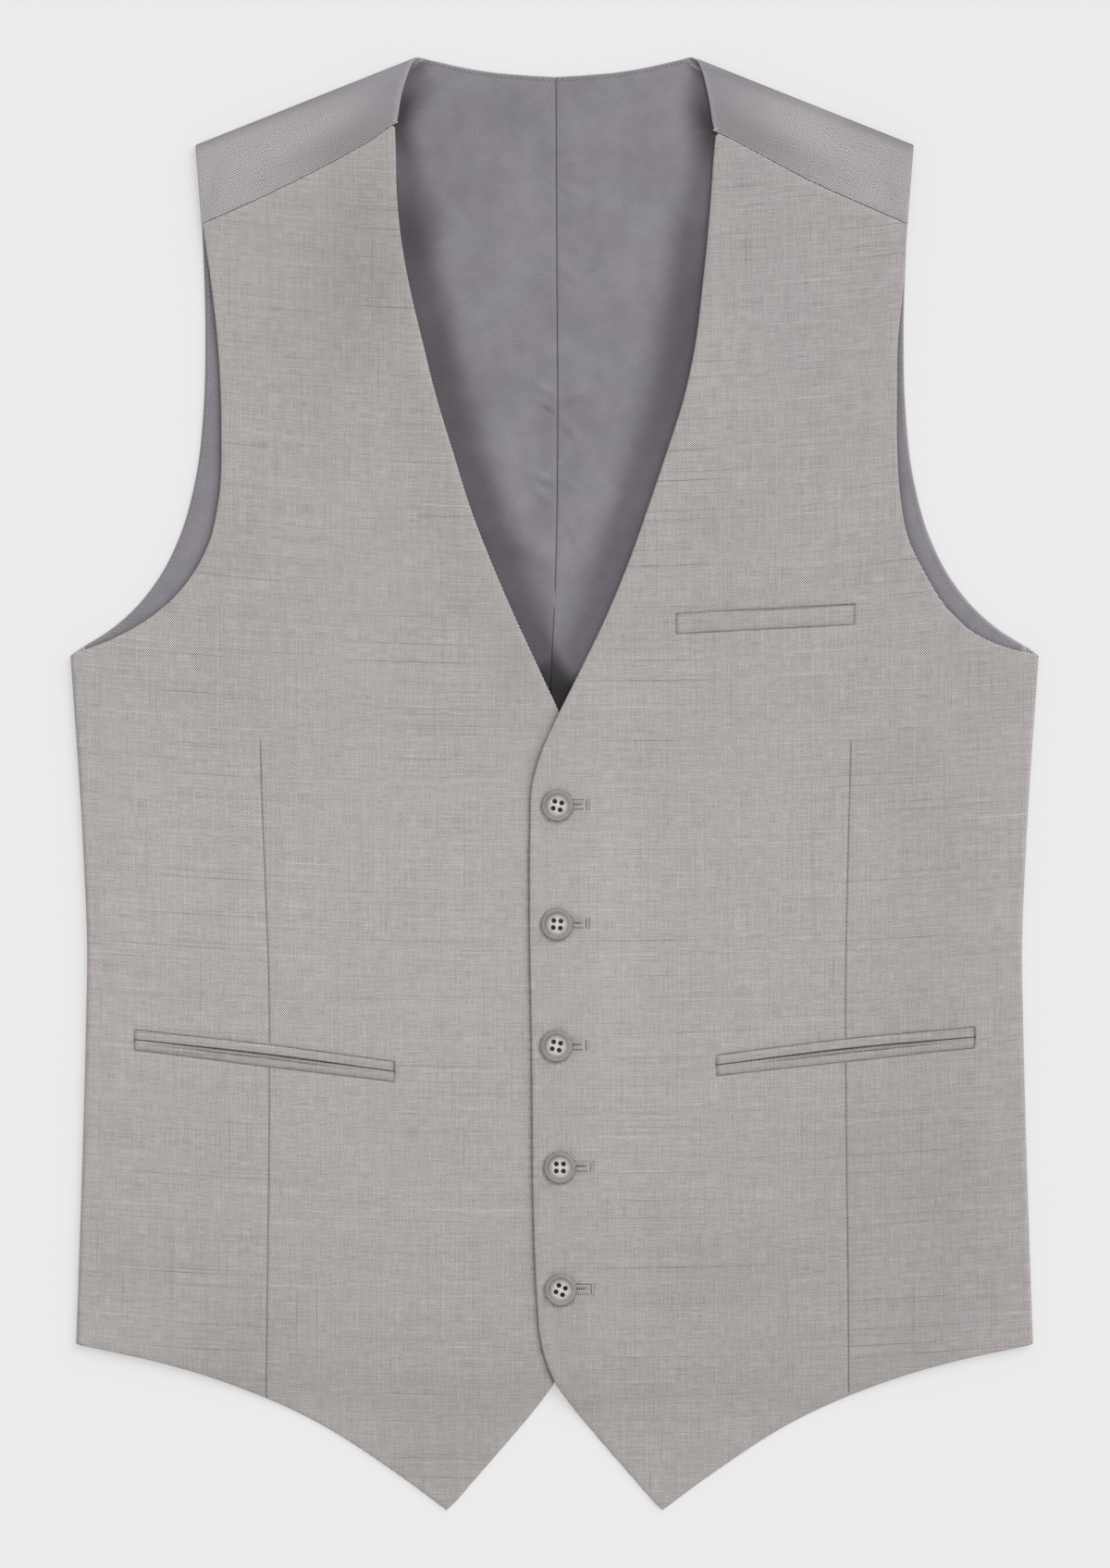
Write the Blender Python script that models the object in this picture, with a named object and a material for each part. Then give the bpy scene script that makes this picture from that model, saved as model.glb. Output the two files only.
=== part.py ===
"""Suit waistcoat, buttoned and laid flat on its back, built from the pieces that are cut and sewn.

Each cloth piece is cut in the flat from its outline and then laid in place: its height carries it
over what lies beneath it, and a fold turns it round the garment's side or its shoulder.

Lengths are millimetres until a mesh is made. +X is the wearer's left, +Y runs from the hem to the
neck and +Z is up. A piece of either side is drawn in its own coordinates: "own" is the distance
from the centre line towards that side, negative past the centre, and "height" is the place along Y.
"""

import math

import bmesh
import bpy
import numpy as np
from mathutils import Vector
from mathutils.geometry import delaunay_2d_cdt

MILLIMETRE = 0.001
LEFT = 1
RIGHT = -1


def table(columns, *rows):
    """Table with named columns, kept as one list for each column."""
    return {name: [row[column] for row in rows] for column, name in enumerate(columns.split())}


# Cloth.
SEAM_GAP = 0.3
FRONT_THICKNESS = 1.5
SATIN_THICKNESS = 1.0
TRIM_THICKNESS = 1.0

# Levels of the middle of each layer above the floor.
BACK_LEVEL = SATIN_THICKNESS / 2
LINING_LEVEL = BACK_LEVEL + SATIN_THICKNESS + SEAM_GAP
FRONT_LEVEL = LINING_LEVEL + SATIN_THICKNESS / 2 + SEAM_GAP + FRONT_THICKNESS / 2
OVERLAP_RISE = FRONT_THICKNESS + SEAM_GAP

# Fold of the fronts round the garment's sides, to a seam with the back underneath.
SIDE_FOLD_RADIUS = (FRONT_LEVEL - FRONT_THICKNESS / 2) / 2
SIDE_FOLD_REACH = SIDE_FOLD_RADIUS + FRONT_THICKNESS / 2
SIDE_SEAM_INSIDE = 6.0
SIDE_SETTLE = 20.0
SIDE_LINE = table(
    "height  half_width",
    (59.6, 225.1),
    (30.0, 223.0),
    (0.0, 220.9),
    (-35.0, 218.9),
    (-80.0, 217.3),
    (-110.0, 217.8),
    (-155.0, 218.9),
    (-200.0, 220.3),
    (-260.8, 222.4),
)
UNDERARM_HEIGHT = 59.6
UNDERARM_SEAM_HEIGHT = 63.5
SIDE_HEM_HEIGHT = -260.8

# Shoulder: a straight fold from the neck point to the shoulder tip.
NECK_POINT = Vector((63.8, 337.7))
SHOULDER_TIP = Vector((167.0, 296.6))
SHOULDER_ALONG = (SHOULDER_TIP - NECK_POINT).normalized()
SHOULDER_OUT = Vector((-SHOULDER_ALONG.y, SHOULDER_ALONG.x))
SHOULDER_FOLD_RADIUS = (FRONT_LEVEL - BACK_LEVEL) / 2
SHOULDER_FOLD_REACH = SHOULDER_FOLD_RADIUS + SATIN_THICKNESS / 2
STRIP_NECK_EDGE = {
    LEFT: table(
        "own  height",
        (66.6, 335.2),
        (68.6, 330.5),
        (70.3, 324.0),
        (72.0, 315.8),
        (73.3, 307.2),
        (74.2, 302.9),
    ),
    RIGHT: table(
        "own  height",
        (66.2, 334.6),
        (67.8, 330.5),
        (69.4, 325.8),
        (70.8, 321.1),
        (71.9, 315.6),
        (72.6, 310.4),
        (73.4, 306.6),
    ),
}
SHOULDER_SEAM = {
    LEFT: table(
        "own  height",
        (74.2, 302.9),
        (80.1, 300.4),
        (94.0, 293.1),
        (115.5, 281.6),
        (139.0, 270.8),
        (163.9, 260.0),
    ),
    RIGHT: table(
        "own  height",
        (73.4, 306.6),
        (78.0, 304.4),
        (83.7, 300.0),
        (94.0, 293.9),
        (115.5, 282.4),
        (139.0, 270.9),
        (163.9, 260.0),
    ),
}

# Back.
BACK_NECK = table(
    "own  height",
    (0.0, 328.4),
    (14.8, 329.3),
    (30.0, 330.7),
    (43.0, 332.9),
    (51.6, 334.8),
    (63.8, 337.7),
)
BACK_ARMHOLE = table(
    "own  height",
    (167.0, 296.6),
    (165.7, 280.0),
    (164.2, 260.8),
    (163.0, 236.0),
    (162.4, 205.0),
    (163.2, 174.8),
    (166.5, 144.0),
    (174.4, 114.6),
    (182.8, 97.4),
    (196.3, 80.2),
    (206.6, 71.4),
    (219.0, 63.6),
)
BACK_HEM_CENTRE = -268.5
BACK_HEM_RISE = 8.0
BACK_HEM_HALF_WIDTH = 222.0

# Lining of the back: a little inside the outer cloth.
LINING_INSET = 0.6
LINING_FROM_SHOULDER = 2.4
LINING_FROM_SIDE = 8.0
LINING_HEM_INSIDE = 8.0
LINING_SEAM = table(
    "height  across",
    (330.0, 0.6),
    (228.0, 1.1),
    (170.0, 1.4),
    (90.0, 0.2),
    (47.0, -1.9),
    (-270.0, 0.0),
)

# Front edge of each front, from the shoulder seam down to the notch above the hem.
FRONT_EDGE = table(
    "height  left  right",
    (307.0, 75.5, 74.2),
    (291.0, 73.8, 73.7),
    (279.0, 73.0, 73.5),
    (257.0, 71.3, 71.8),
    (229.0, 68.4, 67.0),
    (205.0, 65.5, 61.3),
    (179.0, 60.0, 54.8),
    (153.0, 51.8, 46.9),
    (127.0, 43.0, 38.8),
    (102.0, 34.1, 29.1),
    (76.0, 23.3, 17.9),
    (50.0, 10.7, 5.8),
    (28.0, -0.2, -4.0),
    (11.0, -7.4, -8.6),
    (-1.0, -10.5, -10.6),
    (-22.0, -11.4, -11.4),
    (-60.0, -11.6, -11.6),
    (-133.0, -10.5, -10.5),
    (-201.0, -9.8, -9.8),
    (-242.0, -8.1, -8.1),
    (-257.0, -6.8, -6.8),
    (-267.5, -4.4, -4.4),
    (-279.7, 0.6, 0.6),
)
NOTCH_HEIGHT = -279.7
FRONT_CUTAWAY = table(
    "own  height",
    (0.6, -279.7),
    (8.0, -289.7),
    (21.3, -305.6),
    (37.3, -324.0),
    (48.0, -336.0),
    (50.2, -338.0),
)
FRONT_HEM = table(
    "own  height",
    (50.2, -338.0),
    (58.4, -331.9),
    (65.3, -326.7),
    (72.9, -321.3),
    (111.6, -296.5),
    (150.3, -279.6),
    (189.0, -268.0),
    (206.5, -264.2),
    (222.4, -260.8),
)
FRONT_ARMHOLE = {
    LEFT: table(
        "own  height",
        (225.1, 59.6),
        (209.8, 63.1),
        (192.4, 71.6),
        (183.3, 80.2),
        (172.2, 97.4),
        (164.1, 114.6),
        (160.9, 131.4),
        (159.4, 150.0),
        (159.2, 180.0),
        (159.5, 204.0),
        (161.8, 228.0),
        (163.9, 260.0),
    ),
    RIGHT: table(
        "own  height",
        (225.1, 59.6),
        (204.8, 67.3),
        (188.2, 76.8),
        (172.4, 91.4),
        (160.9, 111.2),
        (156.2, 131.8),
        (155.0, 166.0),
        (156.3, 200.0),
        (159.7, 232.0),
        (163.7, 260.0),
    ),
}
COLUMN = {LEFT: "left", RIGHT: "right"}

# Lift of the front edges along the neck.
NECK_LIFT = 2.2
NECK_LIFT_WIDTH = 18.0
NECK_LIFT_FADE = (36.0, 84.0, 236.0, 300.0)

# The left front climbs over the right one between these distances from the centre line.
OVERLAP_FLAT = 14.0
OVERLAP_END = 42.0
OVERLAP_TOP = (36.0, 90.0)
OVERLAP_BOTTOM = (-302.0, -281.0)

# The points of the fronts settle on to the floor past the hem of the back.
DRAPE_LENGTH = 28.0

# Darts, from the chest to the hem.
DART = table(
    "height  left  right",
    (23.0, 137.7, 136.9),
    (-6.0, 137.0, 136.1),
    (-96.0, 135.1, 132.8),
    (-156.0, 135.4, 132.7),
    (-229.0, 136.2, 133.5),
    (-292.0, 136.7, 134.3),
)
DART_DEPTH = 0.5
DART_HALF_WIDTH = 3.0
DART_POINT = (8.0, 28.0)
DART_CLEAR_OF_POCKET = (6.5, 16.0)

# Hip pockets: the slit between the jets.
HIP_SLIT = table(
    "own  left  right",
    (75.2, -131.0, -133.9),
    (135.0, -123.5, -125.9),
    (195.3, -118.0, -119.2),
)
JET_WIDTH = 4.6

# Chest pocket of the left front.
WELT_INNER = Vector((56.4, 69.3))
WELT_OUTER = Vector((139.5, 73.7))
WELT_WIDTH = 9.2

# Buttons, sewn to the right front and through the left one.
BUTTONS = table(
    "across  height  turn",
    (1.3, -10.5, 13.0),
    (1.1, -65.6, 4.0),
    (0.8, -122.1, 12.0),
    (2.4, -178.5, 0.0),
    (2.8, -235.4, 24.0),
)
BUTTON_PROFILE = table(
    "radius  height",
    (0.0, 1.75),
    (4.6, 1.85),
    (5.7, 2.25),
    (6.5, 2.6),
    (7.2, 2.35),
    (7.6, 1.6),
    (7.3, 0.7),
    (6.2, 0.0),
    (0.0, 0.0),
)
BUTTON_SIDES = 28
BUTTON_HOLE_RADIUS = 1.05
BUTTON_HOLE_SIDES = 10
BUTTON_HOLE_SPACING = 3.3
BUTTON_CUTTER_LENGTH = 8.0
MERGE_DISTANCE = 1e-6

# Fineness of the meshes.
OUTLINE_STEP = 2.0
OUTLINE_TOLERANCE = 0.12
NET_SPACING = 18.0
NET_CLEARANCE = 0.5
FLAT_NET_SPACING = 60.0
LINE_POINTS = 60
EDGE_POINTS = 300
SLOPE_STEP = 0.05
SHARP_EDGE = math.radians(40)

# Lines along which the cloth bends, drawn into its net.
FOLD_LINES = 4
FOLD_OVERRUN = 12.0
DART_LINES_TOP = 24.0
DART_LINES_FOOT = -302.0
NECK_LINES_TOP = 276.0
NECK_LINES_FROM_EDGE = (9.0, 21.6)
DRAPE_LINES = (0.0, 0.25, 0.5, 0.75, 1.0)


# Reading of tables and lines.


def smooth(start, end, value):
    """Soft step from 0 at start to 1 at end."""
    share = min(max((value - start) / (end - start), 0.0), 1.0)
    return share * share * (3.0 - 2.0 * share)


def reading(places, values, place):
    """Smooth curve through a column's values, straight on past both ends."""
    if places[0] > places[-1]:
        places = places[::-1]
        values = values[::-1]
    slopes = np.gradient(np.array(values), np.array(places))
    if place <= places[0]:
        return values[0] + slopes[0] * (place - places[0])
    if place >= places[-1]:
        return values[-1] + slopes[-1] * (place - places[-1])
    row = int(np.searchsorted(places, place)) - 1
    span = places[row + 1] - places[row]
    share = (place - places[row]) / span
    start = (1 + 2 * share) * (1 - share) ** 2 * values[row]
    end = share ** 2 * (3 - 2 * share) * values[row + 1]
    leave = share * (1 - share) ** 2 * span * slopes[row]
    arrive = share ** 2 * (share - 1) * span * slopes[row + 1]
    return float(start + end + leave + arrive)


def half_width(height):
    return reading(SIDE_LINE["height"], SIDE_LINE["half_width"], height)


def front_edge(side, height):
    return reading(FRONT_EDGE["height"], FRONT_EDGE[COLUMN[side]], height)


def dart_line(side, height):
    return reading(DART["height"], DART[COLUMN[side]], height)


def hip_slit(side, own):
    return reading(HIP_SLIT["own"], HIP_SLIT[COLUMN[side]], own)


def back_hem(own):
    return BACK_HEM_CENTRE + BACK_HEM_RISE * (own / BACK_HEM_HALF_WIDTH) ** 2


def curve(points):
    """Dense smooth line through points, with its ends at the first and last of them."""
    points = [Vector(point) for point in points]
    along = [0.0]
    for before, after in zip(points, points[1:]):
        along.append(along[-1] + (after - before).length)
    count = max(2, round(along[-1] / OUTLINE_STEP))
    across = [point.x for point in points]
    up = [point.y for point in points]
    places = [along[-1] * step / count for step in range(count + 1)]
    return [Vector((reading(along, across, place), reading(along, up, place))) for place in places]


def drawn(edge):
    """Smooth line through the rows of an outline table."""
    return curve(zip(edge["own"], edge["height"]))


def from_line(point, start, end):
    """Distance of a point from a straight stretch."""
    run = end - start
    share = min(max((point - start).dot(run) / max(run.length_squared, 1e-9), 0.0), 1.0)
    return (start + run * share - point).length


def thinned(points, longest):
    """Fewest points that keep a line's shape, none further apart than the longest step."""
    kept = [points[0]]
    first = 0
    while first < len(points) - 1:
        last = first + 1
        while last + 1 < len(points):
            ahead = points[last + 1]
            if (ahead - points[first]).length > longest:
                break
            between = points[first + 1:last + 1]
            if any(from_line(point, points[first], ahead) > OUTLINE_TOLERANCE for point in between):
                break
            last += 1
        kept.append(points[last])
        first = last
    return kept


def moved_right(points, distance):
    """Line moved to the right of its own direction."""
    result = []
    for place, point in enumerate(points):
        before = points[max(place - 1, 0)]
        after = points[min(place + 1, len(points) - 1)]
        run = (after - before).normalized()
        result.append(point + Vector((run.y, -run.x)) * distance)
    return result


def joined(*lines):
    """One closed outline from lines laid end to end, without doubled corners."""
    outline = []
    for line in lines:
        for point in line:
            if not outline or (point - outline[-1]).length > SEAM_GAP / 2:
                outline.append(point)
    if (outline[0] - outline[-1]).length <= SEAM_GAP / 2:
        outline.pop()
    return outline


# Surfaces on which the pieces lie.


def past_shoulder(point):
    """Distance of a flat point past the shoulder's fold, negative on the garment."""
    return (point - NECK_POINT).dot(SHOULDER_OUT)


def lay_back(own, height):
    """Back on the floor, turned over the shoulder on to the front."""
    over = past_shoulder(Vector((own, height))) + SHOULDER_FOLD_REACH
    if over <= 0:
        return Vector((own, height, BACK_LEVEL))
    turn = min(over / SHOULDER_FOLD_RADIUS, math.pi)
    reach = SHOULDER_FOLD_RADIUS * math.sin(turn)
    flat = over - turn * SHOULDER_FOLD_RADIUS
    shift = SHOULDER_OUT * (reach - flat - over)
    level = BACK_LEVEL + SHOULDER_FOLD_RADIUS * (1 - math.cos(turn))
    return Vector((own + shift.x, height + shift.y, level))


def unfolded(point):
    """Place in the flat cut of the back of a point that ends up on the turned-over strip."""
    past = past_shoulder(point)
    return point + SHOULDER_OUT * (math.pi * SHOULDER_FOLD_RADIUS - 2 * SHOULDER_FOLD_REACH - 2 * past)


def lay_lining(own, height):
    return Vector((own, height, LINING_LEVEL))


def front_rise(side, own, height):
    """How far a front stands above its resting level."""
    from_edge = max(own - front_edge(side, height), 0.0)
    fade_in = smooth(NECK_LIFT_FADE[0], NECK_LIFT_FADE[1], height)
    fade_out = 1 - smooth(NECK_LIFT_FADE[2], NECK_LIFT_FADE[3], height)
    rise = NECK_LIFT * fade_in * fade_out * math.exp(-(from_edge / NECK_LIFT_WIDTH) ** 2)

    if side == LEFT:
        near = 1 - smooth(OVERLAP_FLAT, OVERLAP_END, own)
        below_neck = 1 - smooth(OVERLAP_TOP[0], OVERLAP_TOP[1], height)
        above_points = smooth(OVERLAP_BOTTOM[0], OVERLAP_BOTTOM[1], height)
        rise += OVERLAP_RISE * near * below_neck * above_points

    past_hem = back_hem(own) - height
    rise -= (FRONT_LEVEL - FRONT_THICKNESS / 2) * smooth(0.0, DRAPE_LENGTH, past_hem)
    return rise


def dart_dip(side):
    """Depth to which the dart draws in the face of a front."""

    def dip(own, height):
        from_dart = min(abs(own - dart_line(side, height)) / DART_HALF_WIDTH, 1.0)
        below_point = 1 - smooth(DART_POINT[0], DART_POINT[1], height)
        from_slit = abs(height - hip_slit(side, own))
        beside_pocket = smooth(DART_CLEAR_OF_POCKET[0], DART_CLEAR_OF_POCKET[1], from_slit)
        return DART_DEPTH * (1 - from_dart) * below_point * beside_pocket

    return dip


def no_dip(own, height):
    return 0.0


def lay_front(side):
    """Front over the lining, turned round the garment's side to the seam underneath."""

    def place(own, height):
        fold_start = half_width(height) - SIDE_FOLD_REACH
        over = own - fold_start
        if over <= 0:
            settled = smooth(0.0, SIDE_SETTLE, -over)
            return Vector((own, height, FRONT_LEVEL + settled * front_rise(side, own, height)))
        turn = min(over / SIDE_FOLD_RADIUS, math.pi)
        flat = over - turn * SIDE_FOLD_RADIUS
        level = FRONT_LEVEL - SIDE_FOLD_RADIUS * (1 - math.cos(turn))
        return Vector((fold_start + SIDE_FOLD_RADIUS * math.sin(turn) - flat, height, level))

    return place


def facing(place, own, height):
    """Direction that the cloth faces where it lies."""
    along = place(own + SLOPE_STEP, height) - place(own - SLOPE_STEP, height)
    up = place(own, height + SLOPE_STEP) - place(own, height - SLOPE_STEP)
    return along.cross(up).normalized()


# Making of solids.


def net_points(outline, lines, spacing):
    """Even net of points inside an outline's box, clear of every drawn line."""
    stretches = []
    for line in lines + [outline + outline[:1]]:
        stretches += list(zip(line, line[1:]))
    starts = np.array([tuple(start) for start, _ in stretches])
    runs = np.array([tuple(end - start) for start, end in stretches])
    lengths = np.maximum((runs ** 2).sum(axis=1), 1e-9)
    low = Vector((min(point.x for point in outline), min(point.y for point in outline)))
    high = Vector((max(point.x for point in outline), max(point.y for point in outline)))
    row_height = spacing * math.sqrt(0.75)
    points = []
    for row in range(1, int((high.y - low.y) / row_height) + 1):
        offset = spacing / 2 * (row % 2)
        for column in range(int((high.x - low.x) / spacing) + 1):
            point = np.array((low.x + offset + column * spacing, low.y + row * row_height))
            share = np.clip(((point - starts) * runs).sum(axis=1) / lengths, 0.0, 1.0)
            away = np.linalg.norm(starts + runs * share[:, None] - point, axis=1)
            if away.min() > NET_CLEARANCE * spacing:
                points.append(Vector(point))
    return points


def is_inside(outline, point):
    """Whether a point lies inside a closed outline."""
    crossings = 0
    for start, end in zip(outline, outline[1:] + outline[:1]):
        if (start.y > point.y) != (end.y > point.y):
            across = start.x + (point.y - start.y) / (end.y - start.y) * (end.x - start.x)
            crossings += across > point.x
    return crossings % 2 == 1


def cut_flat(outline, lines=(), spacing=FLAT_NET_SPACING):
    """Flat piece as points and triangles, with its drawn lines kept as edges inside the outline."""
    lines = [thinned(line, spacing) for line in lines]
    points = list(outline)
    edges = [(place, (place + 1) % len(outline)) for place in range(len(outline))]
    for line in lines:
        edges += [(len(points) + place, len(points) + place + 1) for place in range(len(line) - 1)]
        points += line
    points += net_points(outline, lines, spacing)
    made = delaunay_2d_cdt(points, edges, [], 1, 1e-4)
    corners = made[0]
    faces = []
    for face in made[2]:
        middle = sum((corners[corner] for corner in face), Vector((0.0, 0.0))) / 3
        if is_inside(outline, middle):
            faces.append(tuple(face))
    return corners, faces


def material(name, colour, roughness, sheen=0.0):
    """Plain finish of one sort of piece."""
    finish = bpy.data.materials.new(name)
    finish.use_nodes = True
    shader = finish.node_tree.nodes["Principled BSDF"]
    shader.inputs["Base Color"].default_value = (*colour, 1.0)
    shader.inputs["Roughness"].default_value = roughness
    shader.inputs["Metallic"].default_value = 0.0
    shader.inputs["Sheen Weight"].default_value = sheen
    return finish


def add_object(name, mesh, finish):
    """Object in the scene with its finish."""
    mesh.materials.append(finish)
    piece = bpy.data.objects.new(name, mesh)
    bpy.context.scene.collection.objects.link(piece)
    return piece


def add_layer(name, side, flat, place, low, high, finish, dip=no_dip):
    """Cloth solid between two distances from a laid surface, closed round its edge."""
    points, faces = flat
    used = sorted({corner for face in faces for corner in face})
    number = {corner: order for order, corner in enumerate(used)}
    faces = [tuple(number[corner] for corner in face) for face in faces]
    under = []
    upper = []
    for corner in used:
        own, height = points[corner]
        middle = place(own, height)
        out = facing(place, own, height)
        under.append(middle + out * low)
        upper.append(middle + out * (high - dip(own, height)))

    count = len(used)
    shell = [tuple(corner + count for corner in face) for face in faces]
    shell += [face[::-1] for face in faces]
    sides = {(face[step], face[(step + 1) % 3]) for face in faces for step in range(3)}
    for start, end in sorted(sides):
        if (end, start) not in sides:
            shell.append((start, end, end + count))
            shell.append((start, end + count, start + count))
    if side == RIGHT:
        shell = [face[::-1] for face in shell]

    mesh = bpy.data.meshes.new(name)
    corners = [(side * corner.x, corner.y, corner.z) for corner in under + upper]
    mesh.from_pydata([tuple(MILLIMETRE * part for part in corner) for corner in corners], [], shell)
    mesh.shade_smooth()
    mesh.set_sharp_from_angle(angle=SHARP_EDGE)
    return add_object(name, mesh, finish)


# Pieces.


def fold_lines(low, high):
    """Lines along the side's fold, one at each step of its turn."""
    step = math.pi * SIDE_FOLD_RADIUS / FOLD_LINES
    lines = []
    for count in range(FOLD_LINES + 1):
        heights = np.linspace(low, high, LINE_POINTS)
        across = [half_width(height) - SIDE_FOLD_REACH + count * step for height in heights]
        lines.append([Vector(point) for point in zip(across, heights)])
    return lines


def add_back(name, side, finish):
    """Half of the outer back with its strip over the shoulder."""
    half_gap = SEAM_GAP / 2
    neck = [Vector((half_gap, BACK_NECK["height"][0]))]
    neck += [point for point in drawn(BACK_NECK) if point.x > half_gap]
    strip_neck = [unfolded(point) for point in drawn(STRIP_NECK_EDGE[side])]
    seam = drawn(SHOULDER_SEAM[side])
    strip_seam = [unfolded(point) for point in moved_right(seam, -half_gap)]
    armhole = drawn(BACK_ARMHOLE)
    strip_end = [unfolded(point) for point in armhole if point.y > seam[-1].y + SEAM_GAP]
    seam_inside = SIDE_SEAM_INSIDE + SEAM_GAP
    heights = np.linspace(UNDERARM_SEAM_HEIGHT, back_hem(BACK_HEM_HALF_WIDTH), LINE_POINTS)
    side_seam = [Vector((half_width(height) - seam_inside, height)) for height in heights]
    widths = np.linspace(side_seam[-1].x, half_gap, LINE_POINTS)
    hem = [Vector((own, back_hem(own))) for own in widths]
    lines = [neck, strip_neck, strip_seam, strip_end[::-1], armhole, side_seam, hem]
    outline = joined(*(thinned(line, NET_SPACING) for line in lines))

    turn = math.pi * SHOULDER_FOLD_RADIUS / FOLD_LINES
    folds = []
    for count in range(FOLD_LINES + 1):
        out = SHOULDER_OUT * (count * turn - SHOULDER_FOLD_REACH)
        overrun = SHOULDER_ALONG * FOLD_OVERRUN
        folds.append([NECK_POINT - overrun + out, SHOULDER_TIP + overrun + out])
    flat = cut_flat(outline, folds)
    half = SATIN_THICKNESS / 2
    add_layer(name, side, flat, lay_back, -half, half, finish)


def add_lining(name, side, finish):
    """Half of the back's lining, flat between the back and the fronts."""
    heights = np.linspace(back_hem(0) + LINING_HEM_INSIDE, BACK_NECK["height"][0], LINE_POINTS)
    seam = []
    for height in heights:
        across = side * reading(LINING_SEAM["height"], LINING_SEAM["across"], height)
        seam.append(Vector((across + SEAM_GAP / 2, height)))
    neck = moved_right(drawn(BACK_NECK), LINING_INSET)
    armhole = moved_right(drawn(BACK_ARMHOLE), LINING_INSET)
    centre = Vector((seam[-1].x, neck[0].y))
    neck = [point for point in neck if past_shoulder(point) < -LINING_FROM_SHOULDER]
    neck = [centre] + [point for point in neck if point.x > centre.x]
    armhole = [point for point in armhole if past_shoulder(point) < -LINING_FROM_SHOULDER]
    armhole = [point for point in armhole if point.x < half_width(point.y) - LINING_FROM_SIDE]
    side_foot = back_hem(BACK_HEM_HALF_WIDTH) + LINING_HEM_INSIDE
    heights = np.linspace(armhole[-1].y, side_foot, LINE_POINTS)
    side_edge = [Vector((half_width(height) - LINING_FROM_SIDE, height)) for height in heights]
    widths = np.linspace(side_edge[-1].x, seam[0].x, LINE_POINTS)
    hem = [Vector((own, back_hem(own) + LINING_HEM_INSIDE)) for own in widths]
    seam = [point for point in seam if point.y < neck[0].y - SEAM_GAP]
    lines = [neck, armhole, side_edge, hem, seam]
    outline = joined(*(thinned(line, NET_SPACING) for line in lines))
    half = SATIN_THICKNESS / 2
    add_layer(name, side, cut_flat(outline), lay_lining, -half, half, finish)


def add_front(name, side, finish):
    """Front with its neck edge, closing edge, point, hem and armhole, wrapped round the side."""
    seam = moved_right(drawn(SHOULDER_SEAM[side]), SEAM_GAP / 2)
    heights = np.linspace(FRONT_EDGE["height"][0], NOTCH_HEIGHT, EDGE_POINTS)
    edge = [Vector((front_edge(side, height), height)) for height in heights]
    seam = [point for point in seam if point.x > edge[0].x]
    edge = [seam[0]] + [point for point in edge if point.y < seam[0].y - SEAM_GAP]
    cutaway = drawn(FRONT_CUTAWAY)
    hem = drawn(FRONT_HEM)
    heights = np.linspace(SIDE_HEM_HEIGHT, UNDERARM_SEAM_HEIGHT, LINE_POINTS)
    under = [Vector((half_width(height) + SIDE_SEAM_INSIDE, height)) for height in heights]
    armhole = drawn(FRONT_ARMHOLE[side])
    armhole[-1] = seam[-1]
    lines = [edge, cutaway, hem, under, armhole, seam[::-1]]
    outline = joined(*(thinned(line, NET_SPACING) for line in lines))

    drawn_lines = fold_lines(SIDE_HEM_HEIGHT - FOLD_OVERRUN, UNDERARM_HEIGHT + FOLD_OVERRUN)
    heights = np.linspace(DART_LINES_TOP, DART_LINES_FOOT, LINE_POINTS)
    for offset in (-DART_HALF_WIDTH, 0.0, DART_HALF_WIDTH):
        drawn_lines.append([Vector((dart_line(side, height) + offset, height)) for height in heights])
    heights = np.linspace(NECK_LINES_TOP, OVERLAP_TOP[0], LINE_POINTS)
    for from_edge in NECK_LINES_FROM_EDGE:
        drawn_lines.append([Vector((front_edge(side, height) + from_edge, height)) for height in heights])
    for share in DRAPE_LINES:
        widths = np.linspace(-OVERLAP_FLAT, half_width(SIDE_HEM_HEIGHT) - SIDE_FOLD_REACH, LINE_POINTS)
        drape = [Vector((own, back_hem(own) - share * DRAPE_LENGTH)) for own in widths]
        drawn_lines.append(drape)
    if side == LEFT:
        drawn_lines.append([Vector((OVERLAP_FLAT, OVERLAP_TOP[0])), Vector((OVERLAP_FLAT, NOTCH_HEIGHT))])
    flat = cut_flat(outline, drawn_lines, NET_SPACING)
    half = FRONT_THICKNESS / 2
    add_layer(name, side, flat, lay_front(side), -half, half, finish, dart_dip(side))


def add_strip(name, side, lower, upper, finish):
    """Narrow folded strip that lies on a front between two lines."""
    outline = joined(thinned(lower, NET_SPACING), thinned(upper[::-1], NET_SPACING))
    low = FRONT_THICKNESS / 2 + SEAM_GAP
    add_layer(name, side, cut_flat(outline), lay_front(side), low, low + TRIM_THICKNESS, finish)


def add_hip_jets(name, side, finish):
    """Upper and lower jet of a hip pocket, with the slit between them."""
    inner = HIP_SLIT["own"][0]
    outer = HIP_SLIT["own"][-1]
    widths = np.linspace(inner, outer, LINE_POINTS)
    slit = [Vector((own, hip_slit(side, own))) for own in widths]
    half_gap = SEAM_GAP / 2
    for half, near, far in (("upper", half_gap, JET_WIDTH), ("lower", -JET_WIDTH, -half_gap)):
        lower = [point + Vector((0.0, near)) for point in slit]
        upper = [point + Vector((0.0, far)) for point in slit]
        add_strip(f"{name}_{half}", side, lower, upper, finish)


def add_chest_welt(name, finish):
    """Welt of the chest pocket, with upright ends."""
    lower = [WELT_INNER, WELT_OUTER]
    upper = [point + Vector((0.0, WELT_WIDTH)) for point in lower]
    add_strip(name, LEFT, lower, upper, finish)


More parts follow.
